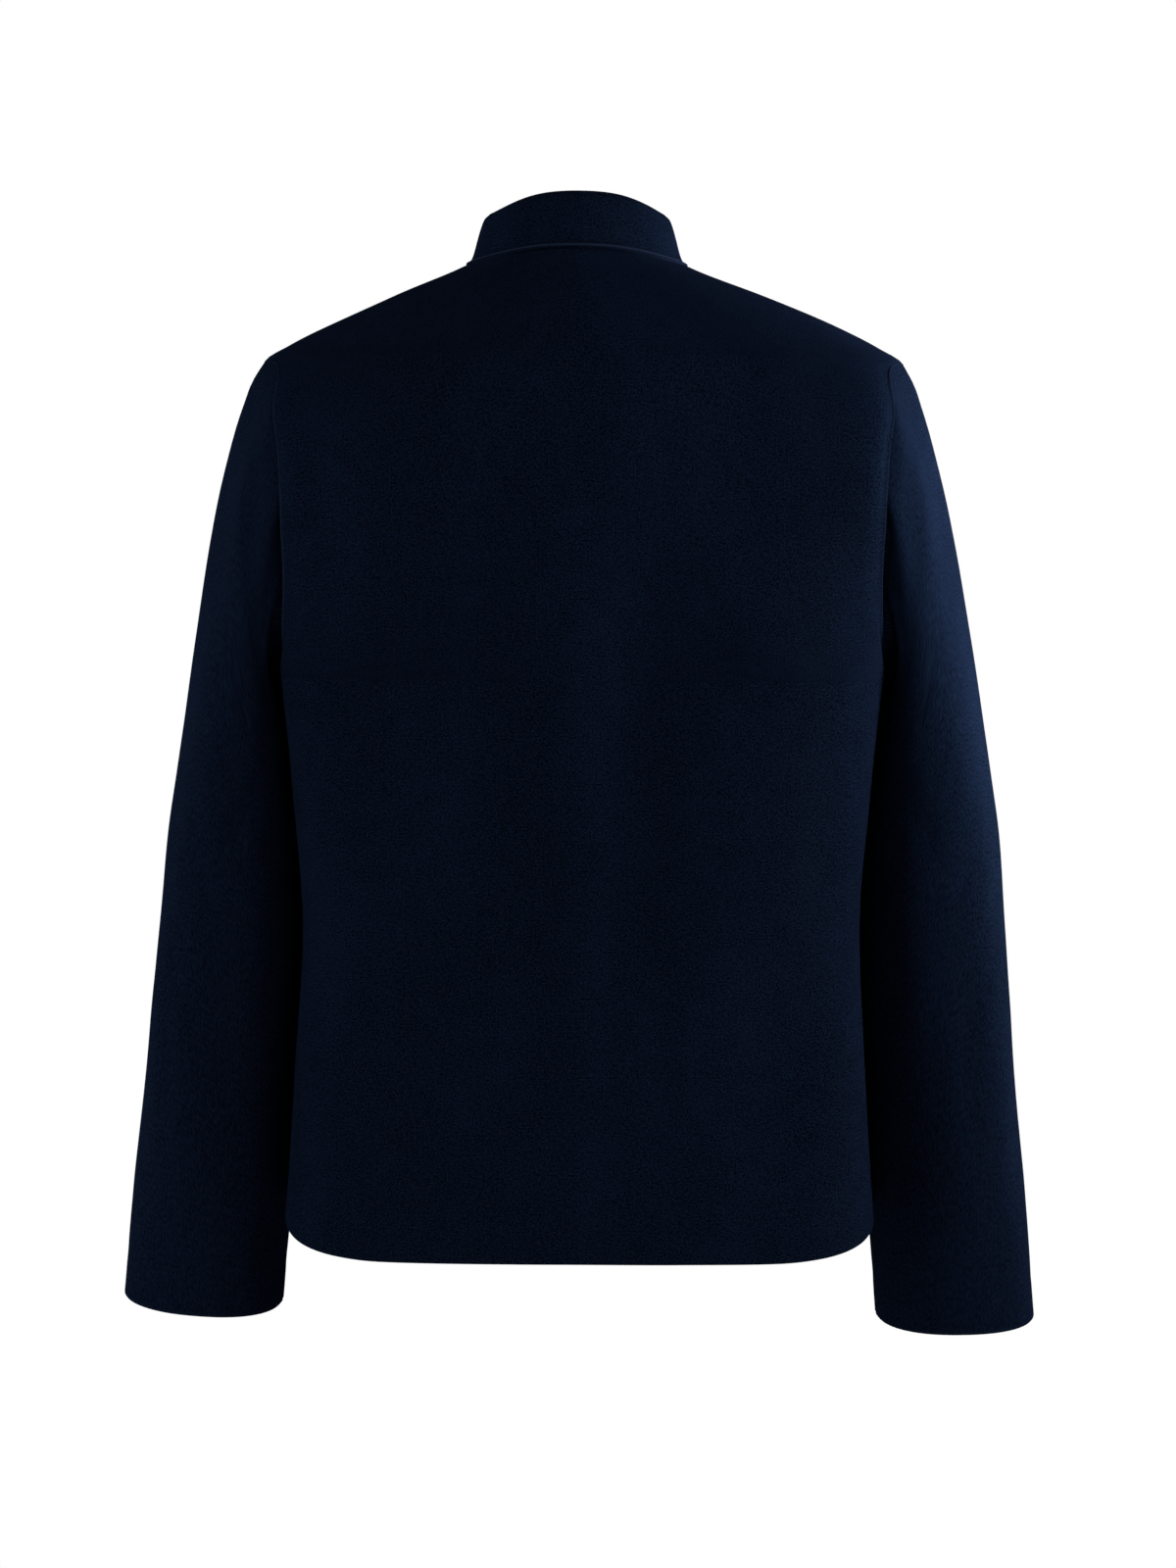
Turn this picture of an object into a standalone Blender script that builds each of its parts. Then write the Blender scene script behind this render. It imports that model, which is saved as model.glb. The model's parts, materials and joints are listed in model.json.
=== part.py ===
"""Dark navy Chinese jacket with a stand collar, hollow as it is when worn.

Metres, +Z up. The jacket's front faces -Y and the wearer's left is +X. The origin is the middle of the
neck base, level with the points where the shoulder seams meet the collar.
"""

import math
from collections import namedtuple

import bmesh
import bpy
import numpy as np

# Cloth, seams, the gap where the two fronts meet and the seat of what is sewn on top
CLOTH = 0.0020
COLLAR_CLOTH = 0.0026
SEAM = 0.0003
FRONT_GAP = 0.0006
SEAT = 0.0005

# Heights of the cut
HEM = -0.671
ARMPIT = -0.281
SHOULDER_TIP = -0.066
FRONT_YOKE = -0.115

# Neck opening, seen from above
NECK_HALF_WIDTH = 0.0765
NECK_BACK = 0.066
NECK_FRONT = 0.074
NECK_SEARCH = (-0.16, 0.028)

# Armhole, as angles round the body from its side seam, and the shoulder seam's place at the neck
ARMHOLE_BACK = math.radians(43)
ARMHOLE_FRONT = math.radians(38)
ARMHOLE_ROUND = 0.85
SHOULDER_SEAM_SHIFT = math.radians(14)

# Stand collar: the round of its front corners, and the share of its height that it loses by the front
COLLAR_CORNER = 0.014
COLLAR_FALL = 0.16

# Knot-and-loop fastenings down the centre front
FASTENINGS = 5
FIRST_FASTENING = -0.104
FASTENING_STEP = -0.118
CORD_RADIUS = 0.0016
CORD_HALF_STEP = 0.00178
STRIP_END = 0.047
LOOP_START = 0.0105
TAIL_START = 0.0131
TAIL_TURN = 0.0026
EYE_RADIUS = 0.0066
EYE_TURNS = (math.radians(50), math.radians(310))
TAIL_TURNS = (math.radians(100), math.radians(260))
KNOT_RADIUS = 0.0056
POST_RADIUS = 0.0030

# Fineness of the meshes
HALF_COLUMNS = 12
HEM_ROWS = 8
ARMHOLE_ROWS = 12
SHOULDER_ROWS = 6
HEAD_STEPS = (0.05, 0.14, 0.27, 0.43, 0.61, 0.80)
ARM_ROWS = 8
FRONT_CROWDING = 1.25
BACK_ROW_CURVE = 1.2
FRONT_ROW_CURVE = 2.3
CORD_SIDES = 6
STRIP_POINTS = 4
EYE_POINTS = 9
TAIL_POINTS = 5
KNOT_STEPS = 8
SEARCH_STEPS = 40
PROBE = 0.0002
SMOOTH_BELOW = math.radians(50)

NAVY = (0.0037, 0.0070, 0.0155, 1.0)
NAP_ROUGHNESS = 0.92

# Level sections of the body, from the neck down
BodySection = namedtuple(
    "BodySection", "height half_width back_depth front_depth back_squareness front_squareness"
)
BODY = (
    BodySection(0.030, 0.0280, 0.0570, 0.0180, 2.00, 2.00),
    BodySection(0.000, 0.0765, 0.0680, 0.0330, 2.00, 2.00),
    BodySection(-0.020, 0.1270, 0.0800, 0.0460, 1.80, 1.80),
    BodySection(-0.041, 0.1760, 0.0915, 0.0590, 1.66, 1.66),
    BodySection(-0.055, 0.2040, 0.0985, 0.0680, 1.68, 1.66),
    BodySection(-0.066, 0.2205, 0.1025, 0.0750, 1.95, 1.80),
    BodySection(-0.110, 0.2345, 0.1075, 0.0950, 3.30, 2.75),
    BodySection(-0.170, 0.2320, 0.1085, 0.1110, 4.40, 3.30),
    BodySection(-0.230, 0.2190, 0.1085, 0.1200, 4.80, 3.40),
    BodySection(-0.281, 0.2070, 0.1075, 0.1240, 4.80, 3.30),
    BodySection(-0.365, 0.1985, 0.1020, 0.1220, 4.60, 3.20),
    BodySection(-0.455, 0.1930, 0.0960, 0.1190, 4.40, 3.10),
    BodySection(-0.560, 0.1985, 0.1000, 0.1200, 4.20, 3.10),
    BodySection(-0.671, 0.2060, 0.1075, 0.1220, 4.00, 3.10),
)

# Soft folds of the body. Across is a fold's middle at its top, lean its shift by its bottom, and a
# negative depth stands out as a ridge. The back faces +1 and the fronts -1. Each end fades out over a
# share of the fold's length.
FOLD_FADE = 1 / 3
BodyFold = namedtuple("BodyFold", "face across lean top bottom width depth")
BODY_FOLDS = (
    BodyFold(1, 0.150, -0.018, -0.085, -0.350, 0.034, 0.0030),
    BodyFold(1, 0.012, 0.010, -0.110, -0.600, 0.030, -0.0018),
    BodyFold(1, -0.036, 0.006, -0.190, -0.520, 0.024, 0.0026),
    BodyFold(1, -0.095, -0.010, -0.150, -0.500, 0.032, -0.0018),
    BodyFold(1, 0.105, 0.022, -0.400, -0.690, 0.036, 0.0026),
    BodyFold(1, -0.118, -0.020, -0.430, -0.690, 0.034, 0.0024),
    BodyFold(-1, 0.118, 0.016, -0.140, -0.390, 0.034, 0.0030),
    BodyFold(-1, -0.125, -0.022, -0.120, -0.360, 0.032, 0.0028),
    BodyFold(-1, 0.082, 0.030, -0.400, -0.690, 0.036, 0.0030),
    BodyFold(-1, -0.074, -0.020, -0.440, -0.690, 0.034, 0.0026),
)

# Sections of a sleeve below its head, for the wearer's left. Lean turns the back of a section in towards
# the body, side rise lifts its outer edge and fore rise its front edge, all as slopes.
SleeveSection = namedtuple(
    "SleeveSection", "height inner outer centre half_depth squareness lean side_rise fore_rise"
)
SLEEVE = (
    SleeveSection(-0.330, 0.2032, 0.2845, -0.013, 0.076, 2.30, 0.16, 0.00, 0.00),
    SleeveSection(-0.400, 0.1961, 0.2935, -0.020, 0.072, 2.40, 0.10, 0.02, 0.03),
    SleeveSection(-0.460, 0.1939, 0.2980, -0.024, 0.068, 2.45, 0.04, 0.03, 0.05),
    SleeveSection(-0.560, 0.1990, 0.3080, -0.028, 0.061, 2.40, 0.00, 0.05, 0.07),
    SleeveSection(-0.650, 0.2058, 0.3180, -0.032, 0.054, 2.35, 0.00, 0.06, 0.08),
    SleeveSection(-0.735, 0.2135, 0.3265, -0.036, 0.050, 2.30, 0.00, 0.06, 0.09),
)

# How each sleeve leaves its armhole, as the reach of the cloth out, back and up before it bends down
SleeveHead = namedtuple("SleeveHead", "out back up")
HEAD_TIP = SleeveHead(0.034, 0.000, -0.052)
HEAD_BACK = SleeveHead(0.012, -0.014, -0.050)
HEAD_ARMPIT = SleeveHead(0.008, 0.000, 0.014)
HEAD_FRONT = SleeveHead(0.020, 0.003, -0.050)

# The two sleeves hang a little differently: extra drop at the cuff, extra rise of its outer edge, an
# outward bow of the outer line above the elbow, and extra reach at the shoulder tip
BOW_HEIGHT = -0.385
BOW_SPREAD = 0.125
SleeveSide = namedtuple("SleeveSide", "name side drop side_rise bow tip_out")
SLEEVE_SIDES = (
    SleeveSide("sleeve_left", 1, 0.0062, 0.015, 0.0, 0.0),
    SleeveSide("sleeve_right", -1, -0.0045, -0.040, 0.0030, -0.0050),
)

# Soft folds of a sleeve. Around is the angle from the outer line towards the back, in degrees.
SleeveFold = namedtuple("SleeveFold", "side around height turn_spread height_spread depth")
SLEEVE_FOLDS = (
    SleeveFold(1, -95, -0.425, 48, 0.026, 0.0030),
    SleeveFold(1, -80, -0.492, 42, 0.022, 0.0022),
    SleeveFold(1, 52, -0.540, 13, 0.150, 0.0014),
    SleeveFold(-1, -92, -0.440, 46, 0.024, 0.0030),
    SleeveFold(-1, -104, -0.512, 40, 0.024, 0.0020),
    SleeveFold(-1, 70, -0.560, 14, 0.120, 0.0012),
)

# Upright profile of the collar: how far it leans in at each rise above its seam
CollarRise = namedtuple("CollarRise", "rise inset")
COLLAR = (
    CollarRise(0.0040, 0.0022),
    CollarRise(0.0110, 0.0046),
    CollarRise(0.0205, 0.0070),
    CollarRise(0.0310, 0.0096),
    CollarRise(0.0420, 0.0136),
)


def columns_at(table, height):
    """Every column of a table at the given heights, on smooth curves that never overshoot its rows."""
    rows = sorted(table, key=lambda row: row.height)
    knots = np.array([row.height for row in rows])
    steps = np.diff(knots)
    height = np.clip(np.asarray(height, float), knots[0], knots[-1])
    place = np.clip(np.searchsorted(knots, height, side="right") - 1, 0, len(steps) - 1)
    t = (height - knots[place]) / steps[place]
    found = {}
    for name in rows[0]._fields[1:]:
        values = np.array([getattr(row, name) for row in rows])
        slopes = np.diff(values) / steps
        tangents = np.empty_like(values)
        tangents[0] = slopes[0]
        tangents[-1] = slopes[-1]
        same_way = slopes[:-1] * slopes[1:] > 0
        mean = 2 * slopes[:-1] * slopes[1:] / np.where(same_way, slopes[:-1] + slopes[1:], 1)
        tangents[1:-1] = np.where(same_way, mean, 0)
        rise = values[place + 1] - values[place]
        start = tangents[place] * steps[place]
        end = tangents[place + 1] * steps[place]
        bend = (3 - 2 * t) * rise - (2 - t) * start - (1 - t) * end
        found[name] = values[place] + t * (start + t * bend)
    return found


def oval(angle, half_width, half_depth, squareness):
    """Point of a rounded section, its angle taken from the middle of its deep side."""
    turn = np.arctan2(half_width * np.sin(angle), half_depth * np.cos(angle))
    across = (np.abs(np.sin(turn)) / half_width) ** squareness
    along = (np.abs(np.cos(turn)) / half_depth) ** squareness
    reach = (across + along) ** (-1 / squareness)
    return reach * np.sin(turn), reach * np.cos(turn)


def ease(value):
    """Smooth step from 0 to 1."""
    value = np.clip(value, 0, 1)
    return value * value * (3 - 2 * value)


def body_fold_depth(across, facing, height):
    """How far the folds press the body's cloth in at a place."""
    total = np.zeros(np.broadcast(across, height).shape)
    for fold in BODY_FOLDS:
        along = (fold.top - height) / (fold.top - fold.bottom)
        fade = ease(along / FOLD_FADE) * ease((1 - along) / FOLD_FADE)
        middle = fold.across + fold.lean * along
        bell = np.exp(-(((across - middle) / fold.width) ** 2))
        total = total + fold.depth * fade * bell * np.clip(facing * fold.face, 0, 1)
    return total


def body_points(angle, height):
    """Outer face of the body. The angle runs from the centre back, positive to the wearer's left."""
    section = columns_at(BODY, height)
    behind = np.abs(angle) <= math.pi / 2
    depth = np.where(behind, section["back_depth"], section["front_depth"])
    squareness = np.where(behind, section["back_squareness"], section["front_squareness"])
    across, along = oval(angle, section["half_width"], depth, squareness)
    facing = along / depth
    along = along - facing * body_fold_depth(across, facing, height)
    return np.stack(np.broadcast_arrays(across, along, height), axis=-1)


def unit(vectors):
    """The same vectors, one long."""
    return vectors / np.linalg.norm(vectors, axis=-1, keepdims=True)


def body_normals(angle, height):
    """Outward directions of the body's outer face."""
    turn = body_points(angle + PROBE, height) - body_points(angle - PROBE, height)
    climb = body_points(angle, height + PROBE) - body_points(angle, height - PROBE)
    return unit(np.cross(climb, turn))


def half_seam_angle(angle, height, gap):
    """Angle that covers half of a gap along a level section."""
    section = columns_at(BODY, height)
    depth = np.where(angle <= math.pi / 2, section["back_depth"], section["front_depth"])
    stretch = np.hypot(section["half_width"] * np.cos(angle), depth * np.sin(angle))
    return gap / 2 / stretch


def neckline(turn):
    """Angle and height on the body of the neck seam, for directions seen from above."""
    depth = np.where(np.cos(turn) >= 0, NECK_BACK, NECK_FRONT)
    wanted = 1 / np.hypot(np.sin(turn) / NECK_HALF_WIDTH, np.cos(turn) / depth)
    low = np.full(turn.shape, NECK_SEARCH[0])
    high = np.full(turn.shape, NECK_SEARCH[1])
    for _ in range(SEARCH_STEPS):
        height = (low + high) / 2
        section = columns_at(BODY, height)
        behind = np.cos(turn) >= 0
        body_depth = np.where(behind, section["back_depth"], section["front_depth"])
        squareness = np.where(behind, section["back_squareness"], section["front_squareness"])
        angle = np.arctan2(body_depth * np.sin(turn), section["half_width"] * np.cos(turn))
        across, along = oval(angle, section["half_width"], body_depth, squareness)
        outside = np.hypot(across, along) > wanted
        low = np.where(outside, height, low)
        high = np.where(outside, high, height)
    return angle, height


def neck_turn_of_seam():
    """Direction, seen from above, in which the shoulder seam meets the neck."""
    section = columns_at(BODY, 0.0)
    seam = math.pi / 2 - SHOULDER_SEAM_SHIFT
    return float(np.arctan2(section["half_width"] * np.sin(seam), section["back_depth"] * np.cos(seam)))


def armhole_sweep():
    """Bends round the armhole from the armpit to the shoulder tip, and their heights."""
    bend = np.linspace(0, math.pi, ARMHOLE_ROWS + 1)
    middle = (ARMPIT + SHOULDER_TIP) / 2
    return bend, middle - (SHOULDER_TIP - ARMPIT) / 2 * np.cos(bend)


def panel_rows(edge_side, columns, armhole, yoke):
    """Angles and heights of a panel's rows, from the hem up.

    Columns run from 0 at the panel's centre line to 1 at its side. The edge side is +1 for the back,
    whose centre line is the centre back, and -1 for a front.
    """
    centre = 0.0 if edge_side > 0 else math.pi
    row_curve = BACK_ROW_CURVE if edge_side > 0 else FRONT_ROW_CURVE
    side = math.pi / 2
    rows = []

    climb = 1 - (1 - columns) ** row_curve
    centre_gap = FRONT_GAP if edge_side < 0 else 0.0

    def add(edge, edge_height, centre_height):
        start = centre - half_seam_angle(np.array(centre), centre_height, centre_gap)
        angles = start + (edge - start) * columns
        rows.append((angles, centre_height + (edge_height - centre_height) * climb))

    for height in np.linspace(HEM, ARMPIT, HEM_ROWS + 1)[:-1]:
        add(side - edge_side * half_seam_angle(side, height, SEAM), height, height)
    bend, heights = armhole_sweep()
    for at, height in zip(bend, heights):
        cut = armhole * max(math.sin(at), 0) ** ARMHOLE_ROUND
        share = at / math.pi
        inset = half_seam_angle(side, height, SEAM) if cut < PROBE else 0.0
        add(side - edge_side * (cut + inset), height, ARMPIT + share * (yoke - ARMPIT))
    tip_angles, tip_heights = rows[-1]
    seam_turn = neck_turn_of_seam()
    turns = seam_turn * columns if edge_side > 0 else math.pi + (seam_turn - math.pi) * columns
    neck_angles, neck_heights = neckline(turns)
    neck_angles = neck_angles - edge_side * half_seam_angle(neck_angles, neck_heights, SEAM) * ease(columns)
    if edge_side < 0:
        opening = half_seam_angle(np.array(math.pi), neck_heights[0], FRONT_GAP)
        neck_angles = np.minimum(neck_angles, math.pi - opening)
    for step in np.linspace(0, 1, SHOULDER_ROWS + 1)[1:]:
        angles = tip_angles + (neck_angles - tip_angles) * step
        rows.append((angles, tip_heights + (neck_heights - tip_heights) * step))
    return np.array([row[0] for row in rows]), np.array([row[1] for row in rows])


def panel_grids(angles, heights):
    """Outer and inner points of a body panel, and its outward directions."""
    outer = body_points(angles, heights)
    normals = body_normals(angles, heights)
    return outer, outer - CLOTH * normals, normals


def add_piece(name, mesh):
    """An object of the finished mesh, with its own cloth finish."""
    bmesh.ops.recalc_face_normals(mesh, faces=mesh.faces)
    data = bpy.data.meshes.new(name)
    mesh.to_mesh(data)
    mesh.free()
    data.shade_smooth()
    data.set_sharp_from_angle(angle=SMOOTH_BELOW)
    finish = bpy.data.materials.new(name)
    finish.use_nodes = True
    shader = finish.node_tree.nodes["Principled BSDF"]
    shader.inputs["Base Color"].default_value = NAVY
    shader.inputs["Roughness"].default_value = NAP_ROUGHNESS
    shader.inputs["Metallic"].default_value = 0.0
    data.materials.append(finish)
    piece = bpy.data.objects.new(name, data)
    bpy.context.collection.objects.link(piece)
    return piece


def add_wall(name, outer, inner, ring):
    """A piece of cloth between two grids of points. A ring's last column joins its first."""
    rows, columns = outer.shape[:2]
    mesh = bmesh.new()
    faces = [[[mesh.verts.new(point) for point in row] for row in grid] for grid in (outer, inner)]
    spans = columns if ring else columns - 1
    for grid in faces:
        for row in range(rows - 1):
            for column in range(spans):
                after = (column + 1) % columns
                near = grid[row]
                far = grid[row + 1]
                mesh.faces.new((near[column], near[after], far[after], far[column]))
    front, back = faces
    for row in (0, rows - 1):
        for column in range(spans):
            after = (column + 1) % columns
            mesh.faces.new((front[row][column], front[row][after], back[row][after], back[row][column]))
    if not ring:
        for column in (0, columns - 1):
            for row in range(rows - 1):
                mesh.faces.new(
                    (front[row][column], front[row + 1][column], back[row + 1][column], back[row][column])
                )
    return add_piece(name, mesh)


def add_body():
    """The back and the two fronts. Returns their grids for what is sewn to their edges."""
    spread = np.linspace(0, 1, HALF_COLUMNS + 1)
    angles, heights = panel_rows(1, spread, ARMHOLE_BACK, SHOULDER_TIP)
    angles = np.concatenate((-angles[:, :0:-1], angles), axis=1)
    heights = np.concatenate((heights[:, :0:-1], heights), axis=1)
    back = panel_grids(angles, heights)
    pieces = [add_wall("back", back[0], back[1], ring=False)]
    angles, heights = panel_rows(-1, spread**FRONT_CROWDING, ARMHOLE_FRONT, FRONT_YOKE)
    fronts = {}
    for name, side in (("front_left", 1), ("front_right", -1)):
        fronts[side] = panel_grids(side * angles, heights)
        pieces.append(add_wall(name, fronts[side][0], fronts[side][1], ring=False))
    return pieces, back, fronts


def sewn_edge(outer, inner, normals, side, closed):
    """Two rows of points just off an edge, to start the piece that is sewn to it."""
    before = np.roll(outer, 1, axis=0)
    after = np.roll(outer, -1, axis=0)
    if not closed:
        before[0] = outer[0]
        after[-1] = outer[-1]
    off = unit(np.cross(after - before, normals)) * side * SEAM
    return outer + off, inner + off


def armhole_loop(back, front, side):
    """Outer points, inner points and outward directions round an armhole.

    The loop starts at the shoulder tip, runs down the back to the armpit and up the front.
    """
    rows = range(HEM_ROWS, HEM_ROWS + ARMHOLE_ROWS + 1)
    back_column = -1 if side > 0 else 0
    loops = []
    for of_back, of_front in zip(back, front):
        behind = of_back[rows, back_column][::-1]
        ahead = of_front[rows, -1]
        tip = (behind[0] + ahead[-1]) / 2
        armpit = (behind[-1] + ahead[0]) / 2
        loops.append(np.concatenate(([tip], behind[1:-1], [armpit], ahead[1:-1])))
    return loops


def sleeve_fold_depth(side, around, height):
    """How far the folds press a sleeve's cloth in at a place."""
    total = np.zeros(np.broadcast(around, height).shape)
    for fold in SLEEVE_FOLDS:
        if fold.side == side:
            turn = (around - math.radians(fold.around) + math.pi) % (2 * math.pi) - math.pi
            off_turn = turn / math.radians(fold.turn_spread)
            off_height = (height - fold.height) / fold.height_spread
            total = total + fold.depth * np.exp(-(off_turn**2) - off_height**2)
    return total


def sleeve_ring(hang, around, height):
    """Points round a sleeve at a height of its table, for the wearer's left."""
    section = columns_at(SLEEVE, height)
    outermost = section["outer"] + hang.bow * math.exp(-(((height - BOW_HEIGHT) / BOW_SPREAD) ** 2))
    half_width = (outermost - section["inner"]) / 2
    dual = section["squareness"] / (section["squareness"] - 1)
    turned_in = np.abs(section["lean"]) * section["half_depth"]
    narrow = (half_width**dual - turned_in**dual) ** (1 / dual)
    press = sleeve_fold_depth(hang.side, around, height)
    along, across = oval(around, section["half_depth"] - press, narrow - press, section["squareness"])
    across = across - section["lean"] * along
    top = SLEEVE[0].height
    share = (top - height) / (top - SLEEVE[-1].height)
    side_rise = section["side_rise"] + share * hang.side_rise
    level = height + share * hang.drop + side_rise * across - section["fore_rise"] * along
    middle = (outermost + section["inner"]) / 2
    return np.stack(np.broadcast_arrays(middle + across, section["centre"] + along, level), axis=-1)


def grid_normals(grid):
    """Outward directions of a sleeve's grid of rings."""
    down = np.gradient(grid, axis=0)
    round_about = np.roll(grid, -1, axis=1) - np.roll(grid, 1, axis=1)
    return unit(np.cross(down, round_about))


def head_reach(hang, around):
    """How the cloth leaves the armhole at each place round it."""
    tip = HEAD_TIP._replace(out=HEAD_TIP.out + hang.tip_out)
    shares = (
        (tip, np.clip(np.cos(around), 0, 1) ** 2),
        (HEAD_BACK, np.clip(np.sin(around), 0, 1) ** 2),
        (HEAD_ARMPIT, np.clip(-np.cos(around), 0, 1) ** 2),
        (HEAD_FRONT, np.clip(-np.sin(around), 0, 1) ** 2),
    )
    return sum(np.outer(share, head) for head, share in shares)


def add_sleeve(hang, loop):
    """One sleeve, from its armhole over its head and down to the cuff."""
    mirror = np.array((hang.side, 1, 1))
    outer, inner, normals = (points * mirror for points in loop)
    start, start_inside = sewn_edge(outer, inner, normals, side=1, closed=True)
    around = np.linspace(0, 2 * math.pi, len(outer), endpoint=False)
    heights = np.linspace(SLEEVE[0].height, SLEEVE[-1].height, ARM_ROWS + 1)
    arm = [sleeve_ring(hang, around, height) for height in heights]
    first_bend = start + head_reach(hang, around)
    length = np.linalg.norm(arm[0] - start, axis=1, keepdims=True)
    last_bend = arm[0] + unit(arm[0] - arm[1]) * length / 3
    rings = [start]
    for t in HEAD_STEPS:
        s = 1 - t
        rings.append(s**3 * start + 3 * s * s * t * first_bend + 3 * s * t * t * last_bend + t**3 * arm[0])
    grid = np.array(rings + arm)
    inside = grid - CLOTH * grid_normals(grid)
    inside[0] = start_inside
    return add_wall(hang.name, grid * mirror, inside * mirror, ring=True)


def add_collar(back, fronts):
    """The stand collar, from the left front edge round the back of the neck to the right one."""
    loops = []
    for of_left, of_back, of_right in zip(fronts[1], back, fronts[-1]):
        left = of_left[-1]
        middle = of_back[-1][::-1]
        right = of_right[-1][::-1]
        left_point = (left[-1] + middle[0]) / 2
        right_point = (middle[-1] + right[0]) / 2
        loops.append(np.concatenate((left[:-1], [left_point], middle[1:-1], [right_point], right[1:])))
    outer, inner, normals = loops
    start, start_inside = sewn_edge(outer, inner, normals, side=-1, closed=False)
    depth = np.where(start[:, 1] >= 0, NECK_BACK, NECK_FRONT)
    out = np.stack((start[:, 0] / NECK_HALF_WIDTH**2, start[:, 1] / depth**2, 0 * depth), axis=-1)
    out = unit(out)
    run = np.concatenate(([0], np.cumsum(np.linalg.norm(np.diff(start, axis=0), axis=1))))
    from_end = np.minimum(np.minimum(run, run[-1] - run), COLLAR_CORNER)
    cut = COLLAR_CORNER - np.sqrt(COLLAR_CORNER**2 - (COLLAR_CORNER - from_end) ** 2)
    full = COLLAR[-1].rise
    fall = COLLAR_FALL * (1 - out[:, 1]) / 2
    rows = [start]
    for step in COLLAR:
        rise = step.rise * (1 - fall) * (full - cut) / full
        rows.append(start - out * step.inset + np.stack((0 * rise, 0 * rise, rise), axis=-1))
    grid = np.array(rows)
    inside = grid - COLLAR_CLOTH * unit(np.cross(np.gradient(grid, axis=1), np.gradient(grid, axis=0)))
    inside[0] = start_inside
    return add_wall("collar", grid, inside, ring=False)


def front_lift(across, height, lift):
    """Points over the fronts, moved out from the cloth, and the outward directions there."""
    section = columns_at(BODY, height)
    far = np.abs(across) / section["half_width"]
    squareness = section["front_squareness"]
    deep = (1 - far**squareness) ** (1 / squareness)
    angle = math.pi - np.arctan2(far, deep)
    angle = np.where(across < 0, -angle, angle)
    for _ in range(SEARCH_STEPS):
        miss = body_points(angle, height)[..., 0] - across
        angle = angle + miss / section["half_width"]
    normals = body_normals(angle, height)
    return body_points(angle, height) + lift * normals, normals


def add_cord(name, route, height):
    """A cord laid on the fronts along a route of places across and up."""
    route = np.array(route)
    path, normals = front_lift(route[:, 0], height + route[:, 1], SEAT + CORD_RADIUS)
    heading = unit(np.gradient(path, axis=0))
    beside = unit(np.cross(heading, normals))
    above = np.cross(beside, heading)
    turns = np.arange(CORD_SIDES) * 2 * math.pi / CORD_SIDES
    mesh = bmesh.new()
    rings = []
    for place, side, up in zip(path, beside, above):
        points = [place + CORD_RADIUS * (math.cos(t) * side + math.sin(t) * up) for t in turns]
        rings.append([mesh.verts.new(point) for point in points])
    for near, far in zip(rings, rings[1:]):
        for k in range(CORD_SIDES):
            after = (k + 1) % CORD_SIDES
            mesh.faces.new((near[k], near[after], far[after], far[k]))
    mesh.faces.new(rings[0])
    mesh.faces.new(rings[-1])
    return add_piece(name, mesh)


def strip_route(start, turns, radius, middle):
    """A cord doubled back on itself: along one edge of its strip, round an end and back."""
    runs = np.linspace(STRIP_END, start, STRIP_POINTS)
    there = [(across, CORD_HALF_STEP) for across in runs]
    bends = [(middle + radius * math.cos(turn), radius * math.sin(turn)) for turn in turns]
    return there + bends + [(across, -CORD_HALF_STEP) for across in runs[::-1]]


def add_knot(name, height):
    """A ball knot on its short neck, turned about a line straight out from the cloth."""
    foot, out = (value[0] for value in front_lift(np.array([0.0]), np.array([height]), SEAT))
    neck = KNOT_RADIUS - math.sqrt(KNOT_RADIUS**2 - POST_RADIUS**2)
    middle = POST_RADIUS + KNOT_RADIUS - neck
    start = math.asin(POST_RADIUS / KNOT_RADIUS)
    profile = [(POST_RADIUS, 0.0)]
    for turn in np.linspace(start, math.pi, KNOT_STEPS // 2 + 1)[:-1]:
        profile.append((KNOT_RADIUS * math.sin(turn), middle - KNOT_RADIUS * math.cos(turn)))
    right = np.array((1.0, 0.0, 0.0))
    up = unit(np.cross(right, out))
    right = np.cross(out, up)
    mesh = bmesh.new()
    rings = []
    for radius, rise in profile:
        ring = []
        for k in range(KNOT_STEPS):
            turn = 2 * math.pi * k / KNOT_STEPS
            reach = math.cos(turn) * right + math.sin(turn) * up
            ring.append(mesh.verts.new(foot + rise * out + radius * reach))
        rings.append(ring)
    for near, far in zip(rings, rings[1:]):
        for k in range(KNOT_STEPS):
            after = (k + 1) % KNOT_STEPS
            mesh.faces.new((near[k], near[after], far[after], far[k]))
    crown = mesh.verts.new(foot + (middle + KNOT_RADIUS) * out)
    for k in range(KNOT_STEPS):
        mesh.faces.new((rings[-1][k], rings[-1][(k + 1) % KNOT_STEPS], crown))
    mesh.faces.new(rings[0])
    return add_piece(name, mesh)


def add_fastenings():
    """Knots and loops down the centre front, each with a doubled cord on either side."""
    loop = strip_route(LOOP_START, np.linspace(*EYE_TURNS, EYE_POINTS), EYE_RADIUS, 0.0)
    tail_turns = np.linspace(*TAIL_TURNS, TAIL_POINTS)
    tail = strip_route(TAIL_START + TAIL_TURN, tail_turns, TAIL_TURN, TAIL_START)
    pieces = []
    for number in range(FASTENINGS):
        height = FIRST_FASTENING + number * FASTENING_STEP
        pieces.append(add_cord(f"loop_{number + 1}", loop, height))
        pieces.append(add_cord(f"tail_{number + 1}", [(-across, up) for across, up in tail], height))
        pieces.append(add_knot(f"knot_{number + 1}", height))
    return pieces


def main():
    for piece in list(bpy.data.objects):
        bpy.data.objects.remove(piece, do_unlink=True)
    jacket = bpy.data.objects.new("jacket", None)
    bpy.context.collection.objects.link(jacket)
    pieces, back, fronts = add_body()
    for hang in SLEEVE_SIDES:
        pieces.append(add_sleeve(hang, armhole_loop(back, fronts[hang.side], hang.side)))
    pieces.append(add_collar(back, fronts))
    pieces.extend(add_fastenings())
    for piece in pieces:
        piece.parent = jacket


main()
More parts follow.
